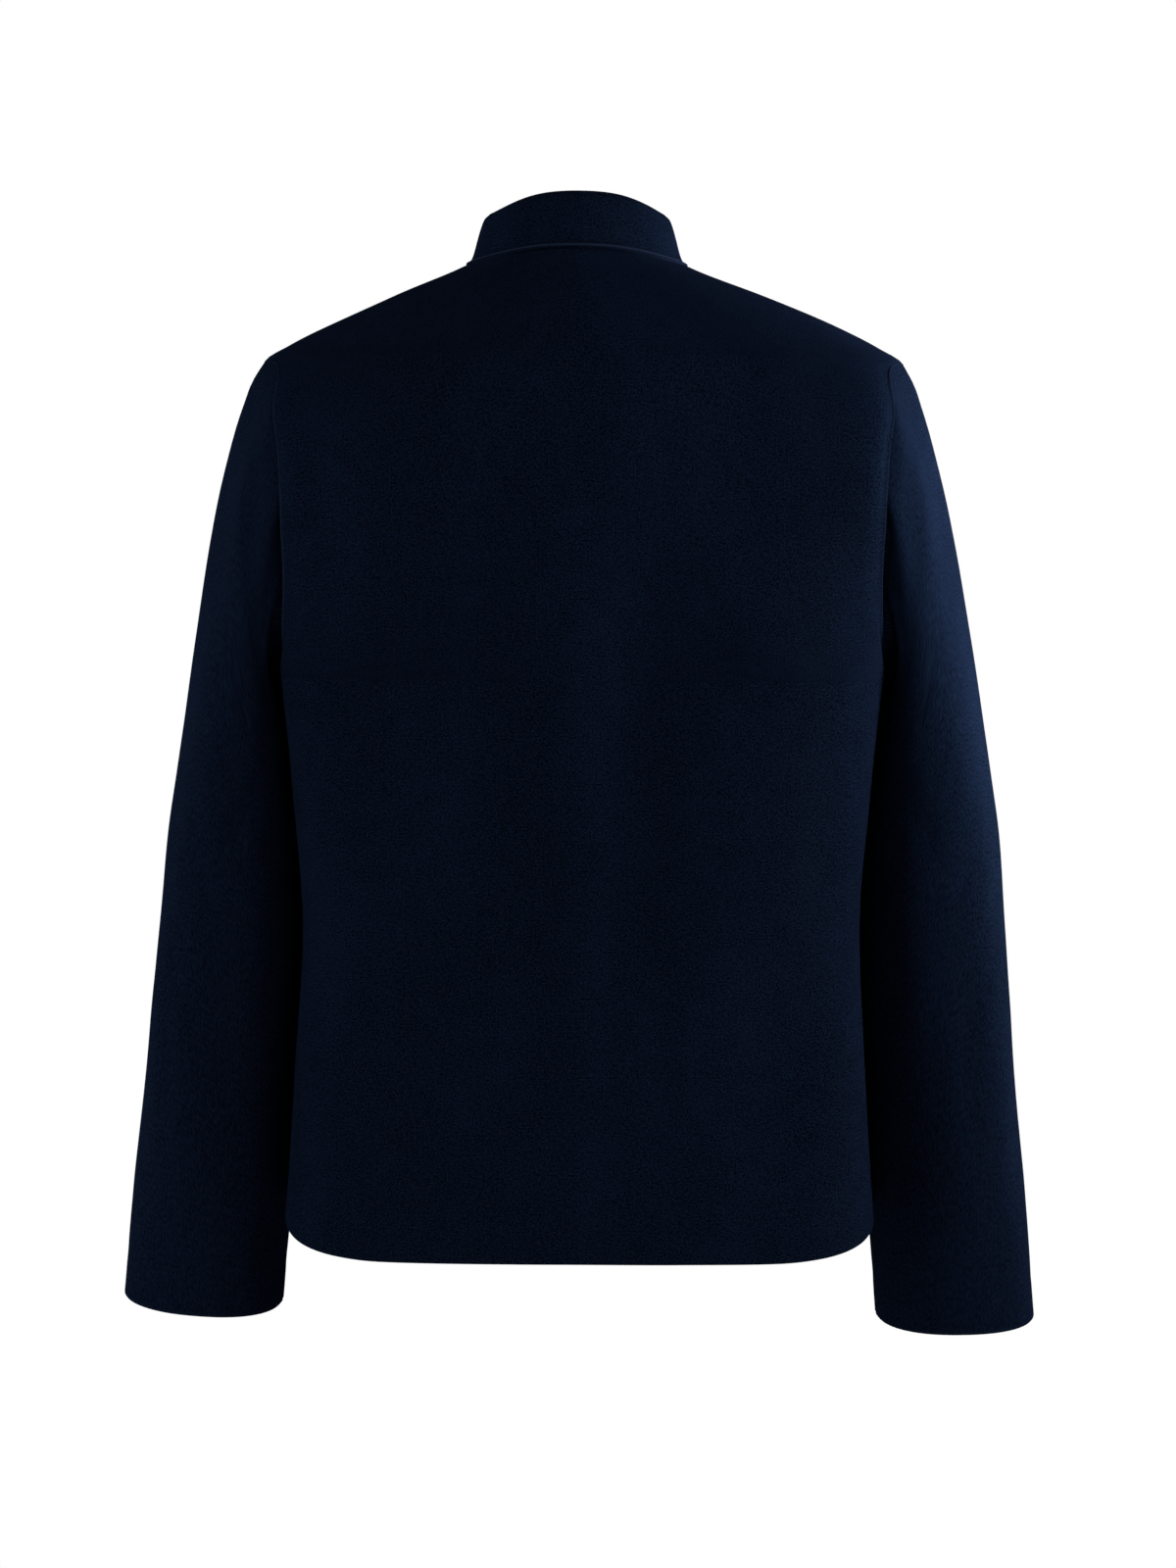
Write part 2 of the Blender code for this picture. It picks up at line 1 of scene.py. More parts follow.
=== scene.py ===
"""Looks of a dark navy Chinese jacket: napped wool shells on the forms of its solids, in a plain studio.

Laid out as a Blender add-on and run as a script. Metres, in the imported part's frame: +Z up, the jacket's
front faces -Y and the wearer's left is +X.
"""

import json
import math
from collections import namedtuple

import bpy
import numpy as np
from mathutils import Matrix, Vector, noise


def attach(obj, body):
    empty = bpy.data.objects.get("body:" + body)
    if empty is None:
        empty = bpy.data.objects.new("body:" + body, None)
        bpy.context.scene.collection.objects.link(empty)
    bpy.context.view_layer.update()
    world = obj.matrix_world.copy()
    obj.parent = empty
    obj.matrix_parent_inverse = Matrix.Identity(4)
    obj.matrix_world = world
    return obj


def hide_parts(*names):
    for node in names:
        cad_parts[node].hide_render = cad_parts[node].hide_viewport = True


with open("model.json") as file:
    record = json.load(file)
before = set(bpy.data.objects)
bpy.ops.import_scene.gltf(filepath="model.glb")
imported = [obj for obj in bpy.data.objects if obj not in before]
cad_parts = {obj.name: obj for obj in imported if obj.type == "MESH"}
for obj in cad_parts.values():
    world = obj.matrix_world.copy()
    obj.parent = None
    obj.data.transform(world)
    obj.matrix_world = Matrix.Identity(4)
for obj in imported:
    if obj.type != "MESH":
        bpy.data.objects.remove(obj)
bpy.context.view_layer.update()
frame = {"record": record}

bl_info = {
    "name": "Chinese Jacket",
    "version": (1, 0, 0),
    "blender": (4, 5, 0),
    "location": "3D View > Sidebar > Jacket",
    "description": "Dresses the packed jacket in napped wool, with its seams, folds and fastenings",
    "category": "Object",
}

BODY_NAME = "root"
CLOTH_SLOT = "jacket_cloth"
COLOURS = {finish["slot"]: finish["base_color"][:3] for finish in frame["record"]["materials"]}
WEFT = "Weft"


def table(columns, *rows):
    """Rows of values under named columns."""
    row_of = namedtuple("Row", columns)
    return tuple(row_of(*row) for row in rows)


# The gap where the fronts meet, the round of their edges there and the seat of what is sewn on top
FRONT_GAP = 0.0006
FRONT_ROUND = 0.00015
SEAT = 0.0005

# Heights of the cut
HEM = -0.671
ARMPIT = -0.281
SHOULDER_TIP = -0.066
FRONT_YOKE = -0.115

# Sweep of the hem: its rise at the side seams, the angles from them where it is full and where it starts,
# its sag elsewhere, and how far up the cloth follows it
HEM_RISE = 0.0155
HEM_RISE_FULL = math.radians(14)
HEM_RISE_START = math.radians(56)
HEM_SAG = 0.002
HEM_SWEEP_REACH = 0.12

# Neck opening, seen from above, and how much tighter it is between its back and its sides
NECK_HALF_WIDTH = 0.0745
NECK_BACK = 0.0644
NECK_FRONT = 0.074
NECK_TRIM = 0.043
NECK_SEARCH = (-0.16, 0.028)

# The neck sits a little towards the wearer's left: how far, and the heights between which it comes in
NECK_SHIFT = 0.0053
NECK_SHIFT_START = -0.040
NECK_SHIFT_FULL = 0.002

# Armhole, as angles round the body from its side seam, and the shoulder seam's place at the neck
ARMHOLE_BACK = math.radians(43)
ARMHOLE_FRONT = math.radians(38)
ARMHOLE_BACK_ROUND = 0.55
ARMHOLE_FRONT_ROUND = 0.85
SHOULDER_SEAM_SHIFT = math.radians(14)

# Fineness of the cloth grids: even rows and columns, closer ones beside every edge, the rough lengths that
# they fill, how the rows climb from a panel's middle to its side, and the steps of rims and searches
HALF_COLUMNS = 52
HEM_ROWS = 40
ARMHOLE_ROWS = 40
SHOULDER_ROWS = 22
HEAD_ROWS = 26
ARM_ROWS = 60
COLLAR_ROWS = 16
EDGE_STEPS = (0.0, 0.0004, 0.0008, 0.0012, 0.0017, 0.0023, 0.0031, 0.0042, 0.0060, 0.0085, 0.0120)
PANEL_RUN = 0.23
ARMHOLE_RUN = 0.27
SHOULDER_RUN = 0.10
HEAD_RUN = 0.12
BACK_ROW_CURVE = 1.2
FRONT_ROW_CURVE = 2.3
RIM_STEPS = 3
SEARCH_STEPS = 40
PROBE = 0.0002

# Level sections of the body, from the neck down
BODY = table(
    "height half_width back_depth front_depth back_squareness front_squareness",
    (0.030, 0.0280, 0.0570, 0.0180, 2.00, 2.00),
    (0.000, 0.0765, 0.0680, 0.0330, 2.00, 2.00),
    (-0.020, 0.1270, 0.0800, 0.0460, 1.80, 1.80),
    (-0.041, 0.1760, 0.0915, 0.0590, 1.66, 1.66),
    (-0.055, 0.2040, 0.0985, 0.0680, 1.68, 1.66),
    (-0.066, 0.2205, 0.1025, 0.0750, 1.95, 1.80),
    (-0.110, 0.2345, 0.1075, 0.0950, 3.30, 2.75),
    (-0.170, 0.2320, 0.1085, 0.1110, 4.40, 3.30),
    (-0.230, 0.2190, 0.1085, 0.1200, 4.80, 3.40),
    (-0.281, 0.2070, 0.1075, 0.1240, 4.80, 3.30),
    (-0.365, 0.1985, 0.1020, 0.1220, 4.60, 3.20),
    (-0.455, 0.1930, 0.0960, 0.1190, 4.40, 3.10),
    (-0.560, 0.1985, 0.1000, 0.1200, 4.20, 3.10),
    (-0.671, 0.2060, 0.1075, 0.1220, 4.00, 3.10),
)

# Soft folds of the body. Across is a fold's middle at its top, lean its shift by its bottom, and a
# negative depth stands out as a ridge. The back faces +1 and the fronts -1. Each end fades out over a
# share of the fold's length.
FOLD_FADE = 1 / 3
BODY_FOLDS = table(
    "face across lean top bottom width depth",
    (1, 0.202, 0.000, -0.030, -0.210, 0.042, -0.0120),
    (1, -0.204, 0.000, -0.030, -0.210, 0.042, -0.0150),
    (1, 0.150, -0.018, -0.085, -0.350, 0.034, 0.0030),
    (1, 0.012, 0.010, -0.110, -0.600, 0.030, -0.0018),
    (1, -0.036, 0.006, -0.190, -0.520, 0.024, 0.0026),
    (1, -0.095, -0.010, -0.150, -0.500, 0.032, -0.0018),
    (1, 0.105, 0.022, -0.400, -0.690, 0.036, 0.0026),
    (1, -0.118, -0.020, -0.430, -0.690, 0.034, 0.0024),
    (-1, 0.118, 0.016, -0.140, -0.390, 0.034, 0.0030),
    (-1, -0.125, -0.022, -0.120, -0.360, 0.032, 0.0028),
    (-1, 0.082, 0.030, -0.400, -0.690, 0.036, 0.0030),
    (-1, -0.074, -0.020, -0.440, -0.690, 0.034, 0.0026),
)

# Sections of a sleeve below its head, for the wearer's left. Lean turns the back of a section in towards
# the body, side rise lifts its outer edge and fore rise its front edge, all as slopes.
SLEEVE = table(
    "height inner outer centre half_depth squareness lean side_rise fore_rise",
    (-0.330, 0.2032, 0.2845, -0.013, 0.076, 2.30, 0.16, 0.00, 0.00),
    (-0.400, 0.1961, 0.2935, -0.020, 0.072, 2.40, 0.10, 0.02, 0.03),
    (-0.460, 0.1939, 0.2980, -0.024, 0.068, 2.45, 0.04, 0.03, 0.05),
    (-0.560, 0.1990, 0.3080, -0.028, 0.061, 2.40, 0.00, 0.05, 0.07),
    (-0.650, 0.2058, 0.3180, -0.032, 0.054, 2.35, 0.00, 0.06, 0.08),
    (-0.735, 0.2135, 0.3265, -0.036, 0.050, 2.30, 0.00, 0.06, 0.09),
)
SLEEVE_SLOPE_STEP = 0.05

# How each sleeve leaves its armhole, as the reach of the cloth out, back and up before it bends down
SleeveHead = namedtuple("SleeveHead", "out back up")
HEAD_TIP = SleeveHead(0.034, 0.000, -0.052)
HEAD_BACK = SleeveHead(0.012, -0.014, -0.050)
HEAD_ARMPIT = SleeveHead(0.008, 0.000, 0.014)
HEAD_FRONT = SleeveHead(0.020, 0.003, -0.050)

# The two sleeves hang a little differently: extra drop at the cuff, extra rise of its outer edge, an
# outward bow of the outer line above the elbow, and extra reach at the shoulder tip
BOW_HEIGHT = -0.385
BOW_SPREAD = 0.125
SLEEVE_SIDES = table(
    "name side drop side_rise bow tip_out",
    ("sleeve_left", 1, 0.0062, 0.015, 0.0, 0.0),
    ("sleeve_right", -1, -0.0045, -0.040, 0.0030, -0.0050),
)

# Soft folds of a sleeve. Around is the angle from the outer line towards the back, in degrees.
SLEEVE_FOLDS = table(
    "side around height turn_spread height_spread depth",
    (1, -95, -0.425, 48, 0.026, 0.0030),
    (1, -80, -0.492, 42, 0.022, 0.0022),
    (1, 52, -0.540, 13, 0.150, 0.0014),
    (-1, -92, -0.440, 46, 0.024, 0.0030),
    (-1, -104, -0.512, 40, 0.024, 0.0020),
    (-1, 70, -0.560, 14, 0.120, 0.0012),
)

# Upright profile of the collar: how far it leans in at each height above its seam, how far the rolled
# lower edge stands out over the neck, the round of its front corners, and the fall of its sides and front
COLLAR = table(
    "height inset",
    (0.0000, 0.0000),
    (0.0036, 0.0019),
    (0.0100, 0.0038),
    (0.0185, 0.0058),
    (0.0280, 0.0082),
    (0.0340, 0.0104),
    (0.0375, 0.0136),
)
COLLAR_ROLL = table(
    "height proud",
    (0.0000, 0.00),
    (0.0001, 0.62),
    (0.0003, 0.92),
    (0.0008, 1.00),
    (0.0014, 0.74),
    (0.0022, 0.36),
    (0.0036, 0.12),
    (0.0070, 0.00),
)
COLLAR_CORNER = 0.014
COLLAR_FALL = 0.090
COLLAR_FALL_TURN = 0.7

# Finer creases, as soft troughs between low ridges, from a start to an end. On the body they run across
# and up it; on a sleeve across is the way round from its outer line, positive to the back.
CREASE_FADE = 0.4
RIDGE_PLACE = 1.7
RIDGE_SHARE = 0.35
CREASE_COLUMNS = "face from_across from_height to_across to_height width depth"
BODY_CREASES = table(
    CREASE_COLUMNS,
    (1, 0.196, -0.236, 0.118, -0.332, 0.011, 0.0011),
    (1, -0.190, -0.244, -0.126, -0.318, 0.010, 0.0009),
    (1, 0.074, -0.446, 0.170, -0.428, 0.013, 0.0008),
    (1, -0.168, -0.468, -0.062, -0.456, 0.012, 0.0007),
    (1, 0.150, -0.545, 0.163, -0.690, 0.012, 0.0010),
    (1, -0.066, -0.560, -0.078, -0.690, 0.015, 0.0008),
    (1, -0.148, -0.520, -0.160, -0.690, 0.011, 0.0007),
    (-1, 0.186, -0.232, 0.100, -0.340, 0.011, 0.0013),
    (-1, -0.190, -0.226, -0.106, -0.322, 0.010, 0.0012),
    (-1, 0.060, -0.452, 0.166, -0.436, 0.013, 0.0009),
    (-1, -0.164, -0.470, -0.058, -0.452, 0.012, 0.0010),
    (-1, 0.138, -0.540, 0.152, -0.690, 0.013, 0.0010),
    (-1, -0.118, -0.550, -0.128, -0.690, 0.014, 0.0009),
    (-1, 0.150, -0.110, 0.178, -0.205, 0.010, 0.0009),
    (-1, -0.154, -0.105, -0.176, -0.214, 0.010, 0.0008),
)
SLEEVE_GIRTH_RADIUS = 0.058
SLEEVE_CREASES = table(
    CREASE_COLUMNS,
    (1, -0.150, -0.300, -0.060, -0.415, 0.009, 0.0014),
    (1, -0.140, -0.440, -0.040, -0.470, 0.009, 0.0015),
    (1, -0.125, -0.522, -0.035, -0.500, 0.010, 0.0011),
    (1, 0.046, -0.410, 0.054, -0.640, 0.008, 0.0007),
    (1, 0.125, -0.330, 0.072, -0.425, 0.010, 0.0009),
    (-1, -0.148, -0.306, -0.070, -0.425, 0.009, 0.0014),
    (-1, -0.142, -0.462, -0.048, -0.486, 0.009, 0.0014),
    (-1, -0.120, -0.540, -0.050, -0.522, 0.010, 0.0010),
    (-1, 0.068, -0.440, 0.076, -0.650, 0.009, 0.0006),
    (-1, 0.128, -0.326, 0.080, -0.418, 0.010, 0.0009),
)

# Slow unevenness of hanging wool, away from its seams: wave length and height of each layer
UNEVEN = table("length height", (0.085, 0.0007), (0.030, 0.00022))
UNEVEN_CLEAR = 0.030

# Places and widths of what a seam does to the cloth beside it, and of the painted highlight along its rolled
# edge, where light would catch it. A sleeve's dip comes in over a turn from the shoulder tip, and an
# armhole's edge over one from each of its ends, both in radians.
LIP_PLACE = 0.0014
LIP_WIDTH = 0.0009
GROOVE_WIDTH = 0.0006
HEAD_DIP_WIDTH = 0.0055
HEAD_DIP_FADE = 0.70
VALLEY_TOP = -0.062
VALLEY_REACH = 0.075
VALLEY_BODY_WIDTH = 0.011
VALLEY_SLEEVE_WIDTH = 0.027
PUFF_PLACE = 0.0042
PUFF_WIDTH = 0.0028
HEAD_PUFF_PLACE = 0.0168
HEAD_PUFF_WIDTH = 0.0112
DIP_WIDTH = 0.0011
NECK_DIP_WIDTH = 0.0024
HEM_TURN_SOFTNESS = 0.0008
HEM_SHADE_WIDTH = 0.0050
# Painted highlight on rolled edges: width, strength and place at the armholes, strength at the cuffs, place
# and width on the collar
HIGHLIGHT_WIDTH = 0.0016
ARMHOLE_HIGHLIGHT = 0.60
ARMHOLE_HIGHLIGHT_PLACE = 0.0007
CUFF_HIGHLIGHT = 0.15
COLLAR_HIGHLIGHT_PLACE = 0.0008
COLLAR_HIGHLIGHT_WIDTH = 0.0008
ARMHOLE_BLEND = 0.20
UNDERARM_FADE = 0.10

# Where the underarm of a sleeve swells to rest against the body, round from its inner line and up
UNDERARM_SWELL = 0.0024
UNDERARM_TURN = math.radians(30)
UNDERARM_HEIGHT = -0.312
UNDERARM_SPREAD = 0.020

# Flat cut of what shows of each cloth piece, as width, length and area, and what it is sewn to
ClothCut = namedtuple("ClothCut", "width length area sewn_to")

# Knot-and-loop fastenings down the centre front: their heights, the routes of loop and tail, and how finely
# cord and binding thread are rolled
FASTENINGS = 5
FIRST_FASTENING = -0.104
FASTENING_STEP = -0.118
CORD_HALF_STEP = 0.00178
STRIP_END = 0.047
LOOP_START = 0.0105
TAIL_START = 0.0131
TAIL_TURN = 0.0026
EYE_RADIUS = 0.0066
EYE_TURNS = (math.radians(50), math.radians(310))
TAIL_TURNS = (math.radians(100), math.radians(260))
STRIP_POINTS = 24
EYE_POINTS = 40
TAIL_POINTS = 14
CORD_SIDES = 12
CORD_SPACING = 0.0009
THREAD_SIDES = 6
THREAD_SPACING = 0.0004

# Ball knot: a cord that laps round a small ball, over and under itself. Its neck starts off the cloth by a
# share of the cord's radius.
KNOT_MIDDLE = 0.0078
KNOT_LAP_RADIUS = 0.0040
KNOT_WEAVE = 0.0007
KNOT_LAPS = 3
KNOT_BIGHTS = 4
KNOT_LATITUDE = math.radians(60)
KNOT_POINTS = 220
KNOT_NECK_HALF_STEP = 0.0015
KNOT_NECK_START = 0.25
NECK_POINTS = 8

# Thread turns that bind a doubled cord beside its eye and at its outer end
BINDING_TURNS = 4
BINDING_PITCH = 0.0007
BINDING_POINTS = 22
LOOP_BINDINGS = (0.0128, 0.0440)
TAIL_BINDINGS = (0.0180, 0.0440)

# Grain of the wool, as the size along the weft and up the warp of each layer, and how much it shades the
# colour: fine tufts, short lines along the weft, blotches, slow mottling, and scattered pale fibres
Grain = namedtuple("Grain", "along up detail shade")
TUFTS = Grain(0.0013, 0.0012, 2.0, 3.4)
LINES = Grain(0.0050, 0.0012, 1.0, 0.8)
BLOTCHES = Grain(0.018, 0.015, 2.0, 0.35)
MOTTLE = Grain(0.07, 0.16, 2.0, 0.55)
LEAST_SHADE = 0.15
FIBRES = Grain(0.0024, 0.0004, 0.0, 0.30)
FIBRE_LEVELS = (0.74, 0.82)
# How far the painted highlight along rolled edges turns the wool to the pale fibre colour
PAINTED_HIGHLIGHT_SHADE = 0.95
REVERSE_SHADE = 0.45
NAP_ROUGHNESS = 0.88
NAP_UNEVENNESS = 0.12
NAP_STRENGTH = 0.75
TUFT_RELIEF = 0.7
LINE_RELIEF = 0.5
NOISE_MIDDLE = 0.5

# Colour sockets of the mix node, which come after those for its other kinds of values
MIX_COLOURS = (6, 7)
MIX_COLOUR_OUT = 2

# Camera, as the photograph was taken: its focal length is counted in pixels of the photograph
PHOTO_LONG_SIDE = 1600
FOCAL_PIXELS = 3133
SENSOR = 36.0
CAMERA_PLACE = (-0.00425, 2.14, -0.193)
CAMERA_AIM = (-0.00425, 0.0, -0.3576)
CAMERA_ROLL = math.radians(0.3)

# Soft studio lights, their power in watts, and the fineness of the round floor
LIGHTS = table(
    "name place aim width height power",
    ("key_bank", (-1.00, 0.34, -0.15), (-0.25, 0.0, -0.30), 0.30, 0.60, 4.5),
    ("side_bank", (-0.80, 0.18, -0.10), (-0.25, 0.0, -0.22), 0.25, 0.35, 4.0),
    ("right_rim", (-0.62, -0.22, -0.10), (-0.25, 0.0, -0.20), 0.20, 0.30, 7.2),
    ("left_bank", (1.30, 0.60, 0.25), (0.20, 0.0, -0.30), 0.50, 0.90, 2.6),
    ("left_low", (1.30, 0.80, -0.50), (0.20, 0.0, -0.30), 0.50, 0.90, 6.6),
    ("left_rim", (0.90, -0.45, -0.25), (0.25, 0.0, -0.30), 0.40, 0.80, 4.8),
    ("top_bank", (0.50, 0.45, 0.80), (0.08, 0.0, -0.05), 0.40, 0.30, 1.3),
    ("back_fill", (-0.60, 1.70, 0.20), (0.0, 0.0, -0.30), 0.80, 0.80, 5.2),
    ("front_bank", (0.60, -2.30, 0.70), (0.0, 0.0, -0.30), 1.40, 1.20, 16.0),
)
LIGHT_TINT = (0.98, 1.0, 1.10)
FLOOR_SIDES = 64


def columns_at(table, height):
    """Every column of a table at the given heights, on smooth curves that never overshoot its rows."""
    rows = sorted(table, key=lambda row: row.height)
    knots = np.array([row.height for row in rows])
    steps = np.diff(knots)
    height = np.clip(np.asarray(height, float), knots[0], knots[-1])
    place = np.clip(np.searchsorted(knots, height, side="right") - 1, 0, len(steps) - 1)
    t = (height - knots[place]) / steps[place]
    found = {}
    for name in rows[0]._fields[1:]:
        values = np.array([getattr(row, name) for row in rows])
        slopes = np.diff(values) / steps
        tangents = np.empty_like(values)
        tangents[0] = slopes[0]
        tangents[-1] = slopes[-1]
        same_way = slopes[:-1] * slopes[1:] > 0
        mean = 2 * slopes[:-1] * slopes[1:] / np.where(same_way, slopes[:-1] + slopes[1:], 1)
        tangents[1:-1] = np.where(same_way, mean, 0)
        rise = values[place + 1] - values[place]
        start = tangents[place] * steps[place]
        end = tangents[place + 1] * steps[place]
        bend = (3 - 2 * t) * rise - (2 - t) * start - (1 - t) * end
        found[name] = values[place] + t * (start + t * bend)
    return found


def oval(angle, half_width, half_depth, squareness):
    """Point of a rounded section, its angle taken from the middle of its deep side."""
    turn = np.arctan2(half_width * np.sin(angle), half_depth * np.cos(angle))
    across = (np.abs(np.sin(turn)) / half_width) ** squareness
    along = (np.abs(np.cos(turn)) / half_depth) ** squareness
    reach = (across + along) ** (-1 / squareness)
    return reach * np.sin(turn), reach * np.cos(turn)


def ease(value):
    """Smooth step from 0 to 1."""
    value = np.clip(value, 0, 1)
    return value * value * (3 - 2 * value)


def bell(distance, middle, width):
    """Rounded hump of height 1."""
    return np.exp(-(((distance - middle) / width) ** 2))


def unit(vectors):
    """The same vectors, one long."""
    return vectors / np.linalg.norm(vectors, axis=-1, keepdims=True)


def crowded(count, length, start=False, end=False):
    """Shares from 0 to 1 of a stretch, evenly spread, with closer ones beside its sewn or folded ends."""
    close = np.array(EDGE_STEPS) / length
    shares = np.linspace(0, 1, count + 1)
    if start:
        shares = np.concatenate((close, shares[shares > close[-1]]))
    if end:
        shares = np.concatenate((shares[shares < 1 - close[-1]], 1 - close[::-1]))
    return shares


def run_along(grid, axis):
    """Distance of every point of a grid from its first one, along the rows or the columns."""
    steps = np.linalg.norm(np.diff(grid, axis=axis), axis=-1)
    return np.cumsum(np.insert(steps, 0, 0, axis=axis), axis=axis)


def body_fold_depth(across, facing, height):
    """How far the folds press the body's cloth in at a place."""
    total = np.zeros(np.broadcast(across, height).shape)
    for fold in BODY_FOLDS:
        along = (fold.top - height) / (fold.top - fold.bottom)
        fade = ease(along / FOLD_FADE) * ease((1 - along) / FOLD_FADE)
        middle = fold.across + fold.lean * along
        press = fold.depth * fade * bell(across, middle, fold.width)
        total = total + press * np.clip(facing * fold.face, 0, 1)
    return total


def body_section(behind, height):
    """Half width, depth and squareness of the body at a height, behind its side seams or before them."""
    section = columns_at(BODY, height)
    depth = np.where(behind, section["back_depth"], section["front_depth"])
    squareness = np.where(behind, section["back_squareness"], section["front_squareness"])
    return section["half_width"], depth, squareness


def body_points(angle, height):
    """Outer face of the body. The angle runs from the centre back, positive to the wearer's left."""
    half_width, depth, squareness = body_section(np.abs(angle) <= math.pi / 2, height)
    across, along = oval(angle, half_width, depth, squareness)
    facing = along / depth
    along = along - facing * body_fold_depth(across, facing, height)
    across = across + NECK_SHIFT * ease((height - NECK_SHIFT_START) / (NECK_SHIFT_FULL - NECK_SHIFT_START))
    return np.stack(np.broadcast_arrays(across, along, height), axis=-1)


def body_normals(angle, height):
    """Outward directions of the body's outer face."""
    turn = body_points(angle + PROBE, height) - body_points(angle - PROBE, height)
    climb = body_points(angle, height + PROBE) - body_points(angle, height - PROBE)
    return unit(np.cross(climb, turn))


def front_edge_angle(height):
    """Angle of the left front's edge, half a gap from the centre front."""
    half_width, _, _ = body_section(False, height)
    return math.pi - FRONT_GAP / 2 / half_width


def neckline(turn):
    """Angle and height on the body of the neck seam, for directions seen from above."""
    behind = np.cos(turn) >= 0
    depth = np.where(behind, NECK_BACK, NECK_FRONT)
    wanted = 1 / np.hypot(np.sin(turn) / NECK_HALF_WIDTH, np.cos(turn) / depth)
    wanted = wanted * np.where(behind, 1 - NECK_TRIM * np.sin(2 * turn) ** 2, 1)
    low = np.full(turn.shape, NECK_SEARCH[0])
    high = np.full(turn.shape, NECK_SEARCH[1])
    for _ in range(SEARCH_STEPS):
        height = (low + high) / 2
        half_width, body_depth, squareness = body_section(behind, height)
        angle = np.arctan2(body_depth * np.sin(turn), half_width * np.cos(turn))
        across, along = oval(angle, half_width, body_depth, squareness)
        outside = np.hypot(across, along) > wanted
        low = np.where(outside, height, low)
        high = np.where(outside, high, height)
    return angle, height


def neck_turn_of_seam():
    """Direction, seen from above, in which the shoulder seam meets the neck."""
    half_width, depth, _ = body_section(True, 0.0)
    seam = math.pi / 2 - SHOULDER_SEAM_SHIFT
    return float(np.arctan2(half_width * np.sin(seam), depth * np.cos(seam)))


def armhole_bends():
    """Turns round an armhole from the armpit to the shoulder tip, closer at both."""
    return math.pi * crowded(ARMHOLE_ROWS, ARMHOLE_RUN, start=True, end=True)


def hem_heights():
    """Heights of the body's rows from the hem to just below the armpit."""
    return HEM + (ARMPIT - HEM) * crowded(HEM_ROWS, ARMPIT - HEM, start=True)[:-1]


def hem_sweep(angle, height):
    """How far the hem's sweep lifts the cloth at each place."""
    from_side = np.abs(np.abs(angle) - math.pi / 2)
    share = ease((HEM_RISE_START - from_side) / (HEM_RISE_START - HEM_RISE_FULL))
    near = ease((HEM + HEM_SWEEP_REACH - height) / HEM_SWEEP_REACH)
    return near * (HEM_RISE * share - HEM_SAG * (1 - share))


def panel_rows(edge_side, armhole, roundness, yoke):
    """Angles and heights of half a panel, from the hem up, and the share of armhole in each row's edge.

    Columns run from the panel's centre line to its side. The edge side is +1 for the back, whose centre
    line is the centre back, and -1 for a front.
    """
    front = edge_side < 0
    columns = crowded(HALF_COLUMNS, PANEL_RUN, start=front, end=True)
    curve = FRONT_ROW_CURVE if front else BACK_ROW_CURVE
    side = math.pi / 2
    rows = []
    shares = []

    def add(edge, edge_height, centre_height, share):
        start = front_edge_angle(centre_height) if front else 0.0
        angles = start + (edge - start) * columns
        to_side = np.clip((side - angles) / (side - start), 0, 1)
        climb = 1 - to_side**curve
        rows.append((angles, centre_height + (edge_height - centre_height) * climb / climb[-1]))
        shares.append(share)

    for height in hem_heights():
        add(side, height, height, 0.0)
    middle = (ARMPIT + SHOULDER_TIP) / 2
    half_height = (SHOULDER_TIP - ARMPIT) / 2
    for bend in armhole_bends():
        height = middle - half_height * math.cos(bend)
        cut = armhole * max(math.sin(bend), 0) ** roundness
        share = ease(min(bend, math.pi - bend) / ARMHOLE_BLEND)
        add(side - edge_side * cut, height, ARMPIT + bend / math.pi * (yoke - ARMPIT), share)
    tip_angles, tip_heights = rows[-1]
    seam_turn = neck_turn_of_seam()
    turns = math.pi + (seam_turn - math.pi) * columns if front else seam_turn * columns
    neck_angles, neck_heights = neckline(turns)
    if front:
        neck_angles = np.minimum(neck_angles, front_edge_angle(neck_heights[0]))
    for step in crowded(SHOULDER_ROWS, SHOULDER_RUN, end=True)[1:]:
        angles = tip_angles + (neck_angles - tip_angles) * step
        rows.append((angles, tip_heights + (neck_heights - tip_heights) * step))
        shares.append(0.0)
    angles = np.array([row[0] for row in rows])
    heights = np.array([row[1] for row in rows])
    return angles, heights + hem_sweep(angles, heights), np.array(shares)


Panel = namedtuple("Panel", "form normals armhole")


def body_panels():
    """Forms of the back (0) and of the fronts on the wearer's left (1) and right (-1)."""
    angles, heights, armhole = panel_rows(1, ARMHOLE_BACK, ARMHOLE_BACK_ROUND, SHOULDER_TIP)
    angles = np.concatenate((-angles[:, :0:-1], angles), axis=1)
    heights = np.concatenate((heights[:, :0:-1], heights), axis=1)
    panels = {0: Panel(body_points(angles, heights), body_normals(angles, heights), armhole)}
    angles, heights, armhole = panel_rows(-1, ARMHOLE_FRONT, ARMHOLE_FRONT_ROUND, FRONT_YOKE)
    for side in (1, -1):
        form = body_points(side * angles, heights)
        panels[side] = Panel(form, body_normals(side * angles, heights), armhole)
    return panels


def crease_relief(across, height, facing, creases):
    """Height of the fine creases over the form at each place."""
    total = np.zeros(across.shape)
    for crease in creases:
        way = np.array((crease.to_across - crease.from_across, crease.to_height - crease.from_height))
        length = np.linalg.norm(way)
        off_across = across - crease.from_across
        off_height = height - crease.from_height
        along = (off_across * way[0] + off_height * way[1]) / length**2
        beside = np.abs(off_across * way[1] - off_height * way[0]) / length
        fade = ease(along / CREASE_FADE) * ease((1 - along) / CREASE_FADE)
        ridge = RIDGE_SHARE * bell(beside, RIDGE_PLACE * crease.width, crease.width)
        profile = ridge - bell(beside, 0, crease.width)
        total += crease.depth * fade * profile * np.clip(facing * crease.face, 0, 1)
    return total


def uneven_relief(points):
    """Slow unevenness of the cloth, from a fixed noise over its place."""
    flat = points.reshape(-1, 3)
    total = np.zeros(len(flat))
    for layer in UNEVEN:
        total += layer.height * np.array([noise.noise(Vector(point) / layer.length) for point in flat])
    return total.reshape(points.shape[:-1])


